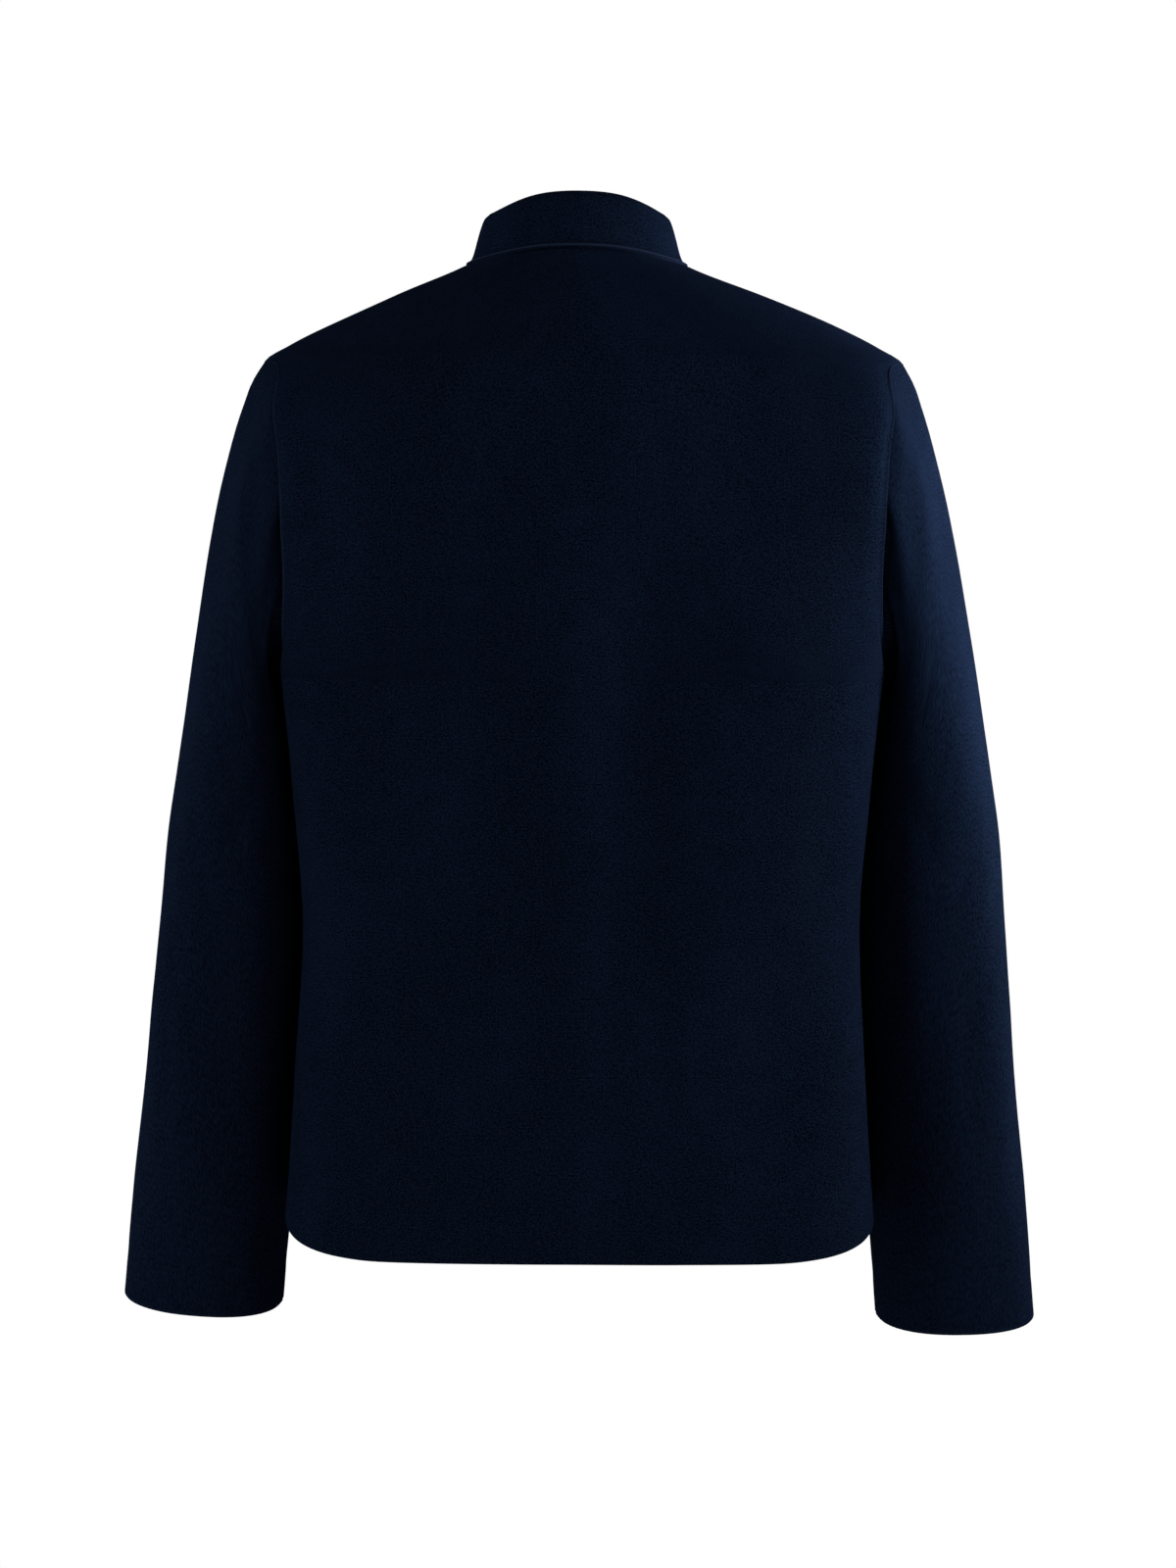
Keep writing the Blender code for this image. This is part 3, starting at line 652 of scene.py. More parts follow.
def lip_relief(distance, seams):
    """A body panel's edge, rolled over the seam where a sleeve is set in."""
    return seams.lip * bell(distance, LIP_PLACE, LIP_WIDTH) - seams.groove * bell(distance, 0, GROOVE_WIDTH)


def valley_share(height):
    """How much of its full depth the valley along an armhole has at each height."""
    return ease((VALLEY_TOP - height) / VALLEY_REACH)


def pressed_relief(distance, seams):
    """A plain seam pressed open: a narrow dip between two low swells."""
    return seams.puff * bell(distance, PUFF_PLACE, PUFF_WIDTH) - seams.dip * bell(distance, 0, DIP_WIDTH)


def hem_share(distance, turn):
    """1 where the cloth is turned up inside a hem, and 0 above it."""
    return ease((turn - distance) / HEM_TURN_SOFTNESS + 0.5)


# Cloth grids, with the share of painted highlight at each point of the outer face
Cloth = namedtuple("Cloth", "outer inner weft wear")


def panel_cloth(panel, side, cloth, seams):
    """Outer and inner points of a body panel with its seams, folds and hem."""
    form = panel.form
    across = run_along(form, 1)
    up = run_along(form, 0)
    edge = across[:, -1:] - across
    if side == 0:
        edge = np.minimum(edge, across)
        across = across - across[:, across.shape[1] // 2, None]
    from_neck = up[-1:] - up
    armhole = panel.armhole[:, None]
    below = ARMPIT - form[..., 2]
    side_seam = np.where(below > 0, ease(below / UNDERARM_FADE), 1.0)
    relief = armhole * lip_relief(edge, seams) + (1 - armhole) * side_seam * pressed_relief(edge, seams)
    relief -= seams.valley * armhole * valley_share(form[..., 2]) * bell(edge, 0, VALLEY_BODY_WIDTH)
    relief -= seams.neck_dip * bell(from_neck, 0, NECK_DIP_WIDTH)
    facing = panel.normals[..., 1]
    clear = ease(np.minimum(edge, from_neck) / UNEVEN_CLEAR)
    relief += clear * (crease_relief(form[..., 0], form[..., 2], facing, BODY_CREASES) + uneven_relief(form))
    relief -= seams.hem_shade * bell(up, cloth.hem_turn, HEM_SHADE_WIDTH)
    outer = form + relief[..., None] * panel.normals
    depth = cloth.thickness * (1 + hem_share(up, cloth.hem_turn))
    # Painted highlight along the rolled armhole edge, where light would catch it
    wear = ARMHOLE_HIGHLIGHT * armhole * bell(edge, ARMHOLE_HIGHLIGHT_PLACE, HIGHLIGHT_WIDTH)
    return Cloth(outer, outer - depth[..., None] * panel.normals, np.stack((across, up), axis=-1), wear)


def armhole_loop(panels, side):
    """Points and outward directions round an armhole, from the armpit up the front and down the back."""
    first = len(hem_heights())
    rows = slice(first, first + len(armhole_bends()))
    back_column = -1 if side > 0 else 0
    loops = []
    for name in ("form", "normals"):
        behind = getattr(panels[0], name)[rows, back_column]
        ahead = getattr(panels[side], name)[rows, -1]
        tip = (behind[-1] + ahead[-1]) / 2
        armpit = (behind[0] + ahead[0]) / 2
        loops.append(np.concatenate(([armpit], ahead[1:-1], [tip], behind[-2:0:-1])))
    return loops


def sleeve_fold_depth(side, around, height):
    """How far the folds press a sleeve's cloth in at a place."""
    total = np.zeros(np.broadcast(around, height).shape)
    for fold in SLEEVE_FOLDS:
        if fold.side == side:
            turn = (around - math.radians(fold.around) + math.pi) % (2 * math.pi) - math.pi
            spread = math.radians(fold.turn_spread)
            total = total + fold.depth * bell(turn, 0, spread) * bell(height, fold.height, fold.height_spread)
    return total


def sleeve_ring(hang, around, height):
    """Points round a sleeve at a height of its table, for the wearer's left."""
    section = columns_at(SLEEVE, height)
    outermost = section["outer"] + hang.bow * bell(height, BOW_HEIGHT, BOW_SPREAD)
    half_width = (outermost - section["inner"]) / 2
    dual = section["squareness"] / (section["squareness"] - 1)
    turned_in = np.abs(section["lean"]) * section["half_depth"]
    narrow = (half_width**dual - turned_in**dual) ** (1 / dual)
    press = sleeve_fold_depth(hang.side, around, height)
    along, across = oval(around, section["half_depth"] - press, narrow - press, section["squareness"])
    across = across - section["lean"] * along
    top = SLEEVE[0].height
    share = (top - height) / (top - SLEEVE[-1].height)
    side_rise = section["side_rise"] + share * hang.side_rise
    level = height + share * hang.drop + side_rise * across - section["fore_rise"] * along
    middle = (outermost + section["inner"]) / 2
    return np.stack(np.broadcast_arrays(middle + across, section["centre"] + along, level), axis=-1)


def head_reach(hang, around):
    """How the cloth leaves the armhole at each place round it."""
    tip = HEAD_TIP._replace(out=HEAD_TIP.out + hang.tip_out)
    shares = (
        (tip, np.clip(np.cos(around), 0, 1) ** 2),
        (HEAD_BACK, np.clip(np.sin(around), 0, 1) ** 2),
        (HEAD_ARMPIT, np.clip(-np.cos(around), 0, 1) ** 2),
        (HEAD_FRONT, np.clip(-np.sin(around), 0, 1) ** 2),
    )
    return sum(np.outer(share, head) for head, share in shares)


def sleeve_cloth(hang, panels, cloth, seams):
    """Outer and inner points of a sleeve, from its armhole over its head and down to the cuff."""
    mirror = np.array((hang.side, 1, 1))
    start, start_normals = (points * mirror for points in armhole_loop(panels, hang.side))
    bends = armhole_bends()
    around = np.concatenate((math.pi + bends[:-1], 3 * math.pi - bends[:0:-1]))
    top = SLEEVE[0].height
    cuff = SLEEVE[-1].height
    heights = top + (cuff - top) * crowded(ARM_ROWS, top - cuff, end=True)
    arm = [sleeve_ring(hang, around, height) for height in heights]
    first_bend = start + head_reach(hang, around)
    length = np.linalg.norm(arm[0] - start, axis=1, keepdims=True)
    last_bend = arm[0] + unit(arm[0] - sleeve_ring(hang, around, top - SLEEVE_SLOPE_STEP)) * length / 3
    rings = []
    for t in crowded(HEAD_ROWS, HEAD_RUN, start=True)[:-1]:
        s = 1 - t
        rings.append(s**3 * start + 3 * s * s * t * first_bend + 3 * s * t * t * last_bend + t**3 * arm[0])
    form = np.array(rings + arm)
    down = np.gradient(form, axis=0)
    round_about = np.roll(form, -1, axis=1) - np.roll(form, 1, axis=1)
    normals = unit(np.cross(down, round_about))
    normals[0] = start_normals
    closed = np.concatenate((form, form[:, :1]), axis=1)
    girth = run_along(closed, 1)
    from_head = run_along(form, 0)
    from_cuff = from_head[-1:] - from_head
    turned = (around + math.pi) % (2 * math.pi) - math.pi
    across = np.broadcast_to(SLEEVE_GIRTH_RADIUS * turned, from_head.shape)
    own_creases = [crease._replace(face=1) for crease in SLEEVE_CREASES if crease.face == hang.side]
    clear = ease(np.minimum(from_head, from_cuff) / UNEVEN_CLEAR)
    relief = clear * (crease_relief(across, form[..., 2], 1.0, own_creases) + uneven_relief(form))
    under = np.minimum(girth, girth[:, -1:] - girth)[:, :-1]
    relief += ease(from_head / UNDERARM_FADE) * pressed_relief(under, seams)
    underarm = bell(np.abs(turned), math.pi, UNDERARM_TURN)
    relief += UNDERARM_SWELL * (underarm * bell(form[..., 2], UNDERARM_HEIGHT, UNDERARM_SPREAD))
    sunk = valley_share(start[:, 2]) * ease((math.pi - np.abs(turned)) / ARMHOLE_BLEND)
    relief -= seams.valley * sunk * bell(from_head, 0, VALLEY_SLEEVE_WIDTH)
    relief -= seams.head_dip * ease(np.abs(turned) / HEAD_DIP_FADE) * bell(from_head, 0, HEAD_DIP_WIDTH)
    relief += seams.head_puff * bell(from_head, HEAD_PUFF_PLACE, HEAD_PUFF_WIDTH)
    relief -= seams.hem_shade * bell(from_cuff, cloth.hem_turn, HEM_SHADE_WIDTH)
    outer = form + relief[..., None] * normals
    depth = cloth.thickness * (1 + hem_share(from_cuff, cloth.hem_turn))
    inner = outer - depth[..., None] * normals
    up = np.concatenate((-from_head, -from_head[:, :1]), axis=1)
    # A faint painted highlight along the cuff's edge
    wear = CUFF_HIGHLIGHT * bell(from_cuff, 0, HIGHLIGHT_WIDTH)
    return Cloth(outer * mirror, inner * mirror, np.stack((girth, up), axis=-1), wear)


def collar_cloth(panels, cloth, seams):
    """Outer and inner points of the stand collar, from the left front edge round to the right one."""
    loops = []
    for name in ("form", "normals"):
        left = getattr(panels[1], name)[-1]
        middle = getattr(panels[0], name)[-1][::-1]
        right = getattr(panels[-1], name)[-1][::-1]
        left_point = (left[-1] + middle[0]) / 2
        right_point = (middle[-1] + right[0]) / 2
        loops.append(np.concatenate((left[:-1], [left_point], middle[1:-1], [right_point], right[1:])))
    start, start_normals = loops
    depth = np.where(start[:, 1] >= 0, NECK_BACK, NECK_FRONT)
    out = unit(np.stack((start[:, 0] / NECK_HALF_WIDTH**2, start[:, 1] / depth**2, 0 * depth), axis=-1))
    run = run_along(start, 0)
    from_end = np.minimum(np.minimum(run, run[-1] - run), COLLAR_CORNER)
    full = COLLAR[-1].height
    cut = COLLAR_CORNER - np.sqrt(COLLAR_CORNER**2 - (COLLAR_CORNER - from_end) ** 2)
    reach = (1 - COLLAR_FALL * ease((1 - out[:, 1]) / COLLAR_FALL_TURN)) * (full - cut) / full
    even = full * crowded(COLLAR_ROWS, full, start=True, end=True)
    rises = np.union1d(even, [row.height for row in COLLAR_ROLL])
    form = []
    rolled = []
    for rise, inset, proud in zip(
        rises, columns_at(COLLAR, rises)["inset"], columns_at(COLLAR_ROLL, rises)["proud"]
    ):
        upright = np.stack((0 * reach, 0 * reach, rise * reach), axis=-1)
        form.append(start - inset * out + upright)
        rolled.append(proud * seams.collar_roll * out)
    form = np.array(form)
    normals = unit(np.cross(np.gradient(form, axis=1), np.gradient(form, axis=0)))
    rise_of_row = np.broadcast_to(rises[:, None], form.shape[:2])
    clear = ease(rise_of_row / UNEVEN_CLEAR)
    outer = form + np.array(rolled) + (clear * uneven_relief(form))[..., None] * normals
    inner = form - cloth.collar_thickness * normals
    # The foot reaches as deep as the dipped panels beside it
    inner[0] = start - (cloth.thickness + seams.neck_dip + seams.dip) * start_normals
    weft = np.stack((np.broadcast_to(run, rise_of_row.shape), rise_of_row), axis=-1)
    # Painted highlight along the collar's rolled lower edge
    wear = bell(rise_of_row, COLLAR_HIGHLIGHT_PLACE, COLLAR_HIGHLIGHT_WIDTH)
    return Cloth(outer, inner, weft, wear)


Bulge = namedtuple("Bulge", "bottom top first last", defaults=(0.0, 0.0, 0.0, 0.0))
Border = namedtuple("Border", "row column next_row next_column push")


def panel_border(grid, bulge):
    """The border of a panel once round, with the way and size of its rounded edge at each point."""
    rows, columns = grid.shape[:2]
    up = np.arange(1, rows)
    back = np.arange(columns - 2, -1, -1)
    last_row = np.full(columns - 1, rows - 1)
    last_column = np.full(rows - 1, columns - 1)
    row = np.concatenate((np.zeros(columns, int), up, last_row, up[-2::-1]))
    column = np.concatenate((np.arange(columns), last_column, back, np.zeros(rows - 2, int)))
    push = np.zeros((len(row), 3))
    for at, row_step, column_step, size in (
        (row == 0, 1, 0, bulge.bottom),
        (row == rows - 1, -1, 0, bulge.top),
        (column == 0, 0, 1, bulge.first),
        (column == columns - 1, 0, -1, bulge.last),
    ):
        beside = grid[row[at] + row_step, column[at] + column_step]
        push[at] += size * unit(grid[row[at], column[at]] - beside)
    return [Border(row, column, np.roll(row, -1), np.roll(column, -1), push)]


def tube_borders(grid, bulge):
    """The two borders of a tube, whose last column joins its first."""
    rows, columns = grid.shape[:2]
    column = np.arange(columns)
    start = np.zeros(columns, int)
    end = np.full(columns, rows - 1)
    back = column[::-1]
    return [
        Border(start, column, start, column + 1, bulge.bottom * unit(grid[0] - grid[1])),
        Border(end, back + 1, end, back, bulge.top * unit(grid[-1] - grid[-2])[(back + 1) % columns]),
    ]


def add_object(name, data):
    """A new object of the scene."""
    made = bpy.data.objects.new(name, data)
    bpy.context.scene.collection.objects.link(made)
    return made


def add_shell(name, cloth_grid, bulge, tube, finish):
    """A closed shell of cloth between two grids, with rounded edges."""
    outer, inner, weft, wear = cloth_grid
    rows, columns = outer.shape[:2]
    count = rows * columns
    spans = columns if tube else columns - 1
    row, column = (index.ravel() for index in np.indices((rows - 1, spans)))
    after = column + 1
    corners = ((row, column), (row, after), (row + 1, after), (row + 1, column))
    quads = np.stack([at_row * columns + at_column % columns for at_row, at_column in corners], axis=-1)
    quad_weft = np.stack([weft[corner] for corner in corners], axis=1)
    points = [outer.reshape(-1, 3), inner.reshape(-1, 3)]
    faces = [quads, quads[:, ::-1] + count]
    wefts = [quad_weft, quad_weft[:, ::-1]]
    # Share of painted highlight at each point; the inner face has none
    highlighted = np.broadcast_to(wear, (rows, columns)).ravel()
    painted_highlights = [highlighted, np.zeros(count)]
    reverse = [np.zeros(count), np.ones(count)]
    total = 2 * count
    for border in tube_borders(outer, bulge) if tube else panel_border(outer, bulge):
        at = border.row * columns + border.column % columns
        middle = (points[0][at] + points[1][at]) / 2
        half = (points[0][at] - points[1][at]) / 2
        loops = [at]
        for turn in np.linspace(0, math.pi, RIM_STEPS + 2)[1:-1]:
            points.append(middle + math.cos(turn) * half + math.sin(turn) * border.push)
            loops.append(total + np.arange(len(at)))
            total += len(at)
            painted_highlights.append(highlighted[at])
            reverse.append(np.full(len(at), turn / math.pi))
        loops.append(count + at)
        here = weft[border.row, border.column]
        beyond = weft[border.next_row, border.next_column]
        for near, far in zip(loops, loops[1:]):
            faces.append(np.stack((np.roll(near, -1), near, far, np.roll(far, -1)), axis=-1))
            wefts.append(np.stack((beyond, here, here, beyond), axis=1))
    points = np.concatenate(points)
    faces = np.concatenate(faces)
    wefts = np.concatenate(wefts)
    first, second, third, fourth = (points[faces[:, corner]] for corner in range(4))
    volume = np.sum(first * (np.cross(second, third) + np.cross(third, fourth)))
    if volume < 0:
        faces = faces[:, ::-1]
        wefts = wefts[:, ::-1]
    mesh = bpy.data.meshes.new(name)
    mesh.from_pydata(points.tolist(), [], faces.tolist())
    mesh.uv_layers.new(name=WEFT).data.foreach_set("uv", wefts.ravel())
    for label, values in (("wear", painted_highlights), ("reverse", reverse)):
        attribute = mesh.attributes.new(label, "FLOAT", "POINT")
        attribute.data.foreach_set("value", np.concatenate(values))
    mesh.shade_smooth()
    mesh.materials.append(finish)
    return add_object(name, mesh)


def front_lift(across, height, lift):
    """Points over the fronts, moved out from the cloth, and the outward directions there."""
    half_width, _, squareness = body_section(False, height)
    far = np.abs(across) / half_width
    deep = (1 - far**squareness) ** (1 / squareness)
    angle = math.pi - np.arctan2(far, deep)
    angle = np.where(across < 0, -angle, angle)
    for _ in range(SEARCH_STEPS):
        miss = body_points(angle, height)[..., 0] - across
        angle = angle + miss / half_width
    normals = body_normals(angle, height)
    return body_points(angle, height) + lift * normals, normals


def strip_route(start, turns, radius, middle):
    """A cord doubled back on itself: along one edge of its strip, round an end and back."""
    runs = np.linspace(STRIP_END, start, STRIP_POINTS)
    there = [(across, CORD_HALF_STEP) for across in runs]
    bends = [(middle + radius * math.cos(turn), radius * math.sin(turn)) for turn in turns]
    return np.array(there + bends + [(across, -CORD_HALF_STEP) for across in runs[::-1]])


def binding_route(across, way, cord_radius, thread_radius):
    """Thread turns round a doubled cord, as places across, up and out from the cords' middle line."""
    reach_up = CORD_HALF_STEP + cord_radius + thread_radius
    reach_out = cord_radius + thread_radius
    turns = np.linspace(0, 2 * math.pi * BINDING_TURNS, BINDING_TURNS * BINDING_POINTS + 1)
    run = across + BINDING_PITCH * (turns / (2 * math.pi) - BINDING_TURNS / 2)
    return np.stack((way * run, reach_up * np.sin(turns), reach_out * np.cos(turns)), axis=-1)


def knot_paths(height, cord_radius):
    """The lapped ball of a knot and the two cords of its neck, straight out from the cloth."""
    foot, out = (value[0] for value in front_lift(np.array([0.0]), np.array([height]), SEAT))
    right = np.array((1.0, 0.0, 0.0))
    up = unit(np.cross(right, out))
    right = np.cross(out, up)
    t = np.linspace(0, 2 * math.pi, KNOT_POINTS, endpoint=False)
    turn = KNOT_LAPS * t
    latitude = KNOT_LATITUDE * np.cos(KNOT_BIGHTS * t)
    radius = KNOT_LAP_RADIUS + KNOT_WEAVE * np.sin(2 * KNOT_BIGHTS * t)
    ball = (
        (radius * np.cos(latitude) * np.cos(turn))[:, None] * right
        + (radius * np.cos(latitude) * np.sin(turn))[:, None] * up
        + (radius * np.sin(latitude))[:, None] * out
    )
    paths = [(foot + KNOT_MIDDLE * out + ball, True)]
    rises = np.linspace(KNOT_NECK_START * cord_radius, KNOT_MIDDLE, NECK_POINTS)
    for side in (1, -1):
        paths.append((foot + side * KNOT_NECK_HALF_STEP * right + rises[:, None] * out, False))
    return paths


class Value:
    """A node's output that takes part in sums, and adds the Math nodes that work them out."""

    def __init__(self, graph, socket):
        self.graph = graph
        self.socket = socket

    def math(self, operation, first, second):
        return self.graph.node("ShaderNodeMath", {"operation": operation}, {0: first, 1: second})

    def __add__(self, other):
        return self.math("ADD", self, other)

    def __radd__(self, other):
        return self.math("ADD", other, self)

    def __sub__(self, other):
        return self.math("SUBTRACT", self, other)

    def __mul__(self, other):
        return self.math("MULTIPLY", self, other)


class Graph:
    """A node tree that is written as calls and sums."""

    def __init__(self, tree):
        self.tree = tree

    def node(self, kind, settings=None, sockets=None, output=0):
        """One node of a type, with its settings and the values or links of its sockets."""
        made = self.tree.nodes.new(kind)
        for name, setting in (settings or {}).items():
            setattr(made, name, setting)
        for name, value in (sockets or {}).items():
            if isinstance(value, Value):
                self.tree.links.new(value.socket, made.inputs[name])
            else:
                made.inputs[name].default_value = value
        if not made.outputs:
            return None
        return Value(self, made.outputs[output])


def cleared(owner):
    """Graph of a material or a world, with no nodes yet."""
    owner.use_nodes = True
    owner.node_tree.nodes.clear()
    return Graph(owner.node_tree)


def tint(colour):
    """A colour as a socket takes it."""
    return (*colour, 1.0)


def grain_noise(graph, place, grain):
    """Noise over a place on the cloth, around zero."""
    fineness = (1 / grain.along, 1 / grain.up, 0.0)
    scaled = graph.node("ShaderNodeVectorMath", {"operation": "MULTIPLY"}, {0: place, 1: fineness})
    sockets = {"Vector": scaled, "Scale": 1.0, "Detail": grain.detail}
    return graph.node("ShaderNodeTexNoise", {"noise_dimensions": "2D"}, sockets) - NOISE_MIDDLE


def blend(graph, share, first, second):
    """One colour over another."""
    sockets = {0: share, MIX_COLOURS[0]: first, MIX_COLOURS[1]: second}
    return graph.node("ShaderNodeMix", {"data_type": "RGBA"}, sockets, output=MIX_COLOUR_OUT)


def wool_material(name, cloth):
    """Napped wool: fine tufts, short lines along the weft, slow mottling and a few pale fibres."""
    material = bpy.data.materials.new(name)
    graph = cleared(material)
    place = graph.node("ShaderNodeUVMap", {"uv_map": WEFT})
    tufts = grain_noise(graph, place, TUFTS)
    lines = grain_noise(graph, place, LINES)
    shade = 1.0 + tufts * TUFTS.shade + lines * LINES.shade
    for grain in (BLOTCHES, MOTTLE):
        shade = shade + grain_noise(graph, place, grain) * grain.shade
    shade = graph.node("ShaderNodeMath", {"operation": "MAXIMUM"}, {0: shade, 1: LEAST_SHADE})
    fibres = graph.node(
        "ShaderNodeMapRange",
        {"interpolation_type": "SMOOTHSTEP"},
        {
            "Value": grain_noise(graph, place, FIBRES) + NOISE_MIDDLE,
            "From Min": FIBRE_LEVELS[0],
            "From Max": FIBRE_LEVELS[1],
            "To Min": 0.0,
            "To Max": FIBRES.shade,
        },
    )
    wear, reverse = (
        graph.node("ShaderNodeAttribute", {"attribute_name": label}, output="Fac")
        for label in ("wear", "reverse")
    )
    sockets = {0: tuple(cloth.colour), "Scale": shade}
    colour = graph.node("ShaderNodeVectorMath", {"operation": "SCALE"}, sockets)
    colour = blend(graph, fibres, colour, tint(cloth.fibre_and_highlight_colour))
    # Painted highlight along rolled edges, in the pale fibre colour
    colour = blend(graph, wear * PAINTED_HIGHLIGHT_SHADE, colour, tint(cloth.fibre_and_highlight_colour))
    colour = blend(graph, reverse * REVERSE_SHADE, colour, tint(cloth.reverse_colour))
    height = tufts * TUFT_RELIEF + lines * LINE_RELIEF
    sockets = {"Strength": NAP_STRENGTH, "Distance": cloth.nap, "Height": height}
    bump = graph.node("ShaderNodeBump", sockets=sockets)
    shader = graph.node(
        "ShaderNodeBsdfPrincipled",
        sockets={
            "Base Color": colour,
            "Roughness": NAP_ROUGHNESS + tufts * NAP_UNEVENNESS,
            "Metallic": 0.0,
            "Specular IOR Level": cloth.gloss,
            "Sheen Weight": cloth.sheen,
            "Sheen Roughness": cloth.sheen_spread,
            "Sheen Tint": tint(cloth.sheen_colour),
            "Normal": bump,
        },
    )
    graph.node("ShaderNodeOutputMaterial", sockets={"Surface": shader})
    return material


def show_white(graph, lit, white, output):
    """Ends a node tree that is one surface to the light and a plain white one to the camera."""
    seen = graph.node("ShaderNodeLightPath", output="Is Camera Ray")
    surface = graph.node("ShaderNodeMixShader", sockets={0: seen, 1: lit, 2: white})
    graph.node(output, sockets={"Surface": surface})


def pale_material(name, colour):
    """The studio's floor: pale and matt, and plain white to the camera, as in a cut-out picture."""
    material = bpy.data.materials.new(name)
    graph = cleared(material)
    matt = graph.node("ShaderNodeBsdfDiffuse", sockets={"Color": tint(colour)})
    white = graph.node("ShaderNodeEmission", sockets={"Color": tint((1, 1, 1)), "Strength": 1.0})
    show_white(graph, matt, white, "ShaderNodeOutputMaterial")
    return material


def store(graph, geometry, name, value, kind="FLOAT", domain="POINT"):
    """Geometry that carries a named value."""
    sockets = {"Geometry": geometry, "Name": name, "Value": value}
    return graph.node("GeometryNodeStoreNamedAttribute", {"data_type": kind, "domain": domain}, sockets)


CordTree = namedtuple("CordTree", "tree inputs")


def cord_tree():
    """Node tree that rolls a round cord along each line of a mesh and lays its weft round it."""
    tree = bpy.data.node_groups.new("RolledCord", "GeometryNodeTree")
    kinds = (
        ("Path", "NodeSocketGeometry"),
        ("Radius", "NodeSocketFloat"),
        ("Spacing", "NodeSocketFloat"),
        ("Sides", "NodeSocketInt"),
        ("Finish", "NodeSocketMaterial"),
    )
    inputs = {}
    for name, kind in kinds:
        inputs[name] = tree.interface.new_socket(name, in_out="INPUT", socket_type=kind).identifier
    tree.interface.new_socket("Cord", in_out="OUTPUT", socket_type="NodeSocketGeometry")
    graph = Graph(tree)
    given = {name: graph.node("NodeGroupInput", output=name) for name in inputs}
    curve = graph.node("GeometryNodeMeshToCurve", sockets={"Mesh": given["Path"]})
    sockets = {"Curve": curve, "Length": given["Spacing"]}
    curve = graph.node("GeometryNodeResampleCurve", {"mode": "LENGTH"}, sockets)
    curve = store(graph, curve, "along", graph.node("GeometryNodeSplineParameter", output="Length"))
    sockets = {"Resolution": given["Sides"], "Radius": given["Radius"]}
    ring = graph.node("GeometryNodeCurvePrimitiveCircle", {"mode": "RADIUS"}, sockets)
    ring = store(graph, ring, "round_about", graph.node("GeometryNodeSplineParameter", output="Length"))
    sockets = {"Curve": curve, "Profile Curve": ring, "Fill Caps": True}
    cord = graph.node("GeometryNodeCurveToMesh", sockets=sockets)
    along, round_about = (
        graph.node("GeometryNodeInputNamedAttribute", {"data_type": "FLOAT"}, {"Name": name})
        for name in ("along", "round_about")
    )
    weft = graph.node("ShaderNodeCombineXYZ", sockets={0: along, 1: round_about})
    cord = store(graph, cord, WEFT, weft, "FLOAT2", "CORNER")
    cord = graph.node("GeometryNodeSetShadeSmooth", sockets={"Geometry": cord})
    cord = graph.node("GeometryNodeRealizeInstances", sockets={"Geometry": cord})
    cord = graph.node("GeometryNodeSetMaterial", sockets={"Geometry": cord, "Material": given["Finish"]})
    graph.node("NodeGroupOutput", sockets={"Cord": cord})
    return CordTree(tree, inputs)


def add_cord(name, paths, roller, radius, spacing, sides, finish):
    """A plain mesh of cords rolled along open or closed paths."""
    points = []
    edges = []
    for path, closed in paths:
        first = len(points)
        count = len(path)
        points.extend(tuple(point) for point in path)
        edges.extend((first + k, first + k + 1) for k in range(count - 1))
        if closed:
            edges.append((first + count - 1, first))
    lines = bpy.data.meshes.new(name + "_path")
    lines.from_pydata(points, edges, [])
    piece = add_object(name, lines)
    modifier = piece.modifiers.new("RolledCord", "NODES")
    modifier.node_group = roller.tree
    given = {"Radius": radius, "Spacing": spacing, "Sides": sides, "Finish": finish}
    for label, value in given.items():
        modifier[roller.inputs[label]] = value
    bpy.context.view_layer.update()
    evaluated = piece.evaluated_get(bpy.context.evaluated_depsgraph_get())
    rolled = bpy.data.meshes.new_from_object(evaluated)
    piece.modifiers.remove(modifier)
    piece.data = rolled
    bpy.data.meshes.remove(lines)
    if not rolled.polygons:
        raise RuntimeError(f"{name} has no faces")
    rolled.name = name
    return piece


def dress(piece, nodes):
    """Sets a finished piece on the part's body, in place of its nodes."""
    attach(piece, BODY_NAME)
    if nodes:
        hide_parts(*nodes)


def add_cloth(node, cloth_grid, bulge, tube, finish):
    """A finished sheet of cloth in place of its node."""
    piece = add_shell(node + "_cloth", cloth_grid, bulge, tube, finish)
    dress(piece, [node])


def aim(placed, place, target, roll=0.0):
    """Places a camera or a light and turns it to its target."""
    way = (Vector(target) - Vector(place)).to_track_quat("-Z", "Y").to_matrix().to_4x4()
    placed.matrix_world = Matrix.Translation(place) @ way @ Matrix.Rotation(roll, 4, "Z")


def length_setting(name, description, default):
    """A length that the panel shows."""
    return bpy.props.FloatProperty(name=name, description=description, default=default, unit="LENGTH")


def share_setting(name, description, default):
    """A share that the panel shows."""
    return bpy.props.FloatProperty(name=name, description=description, default=default, subtype="FACTOR")


def colour_setting(name, description, default):
    """A colour that the panel shows."""
    return bpy.props.FloatVectorProperty(name=name, description=description, default=default, subtype="COLOR")


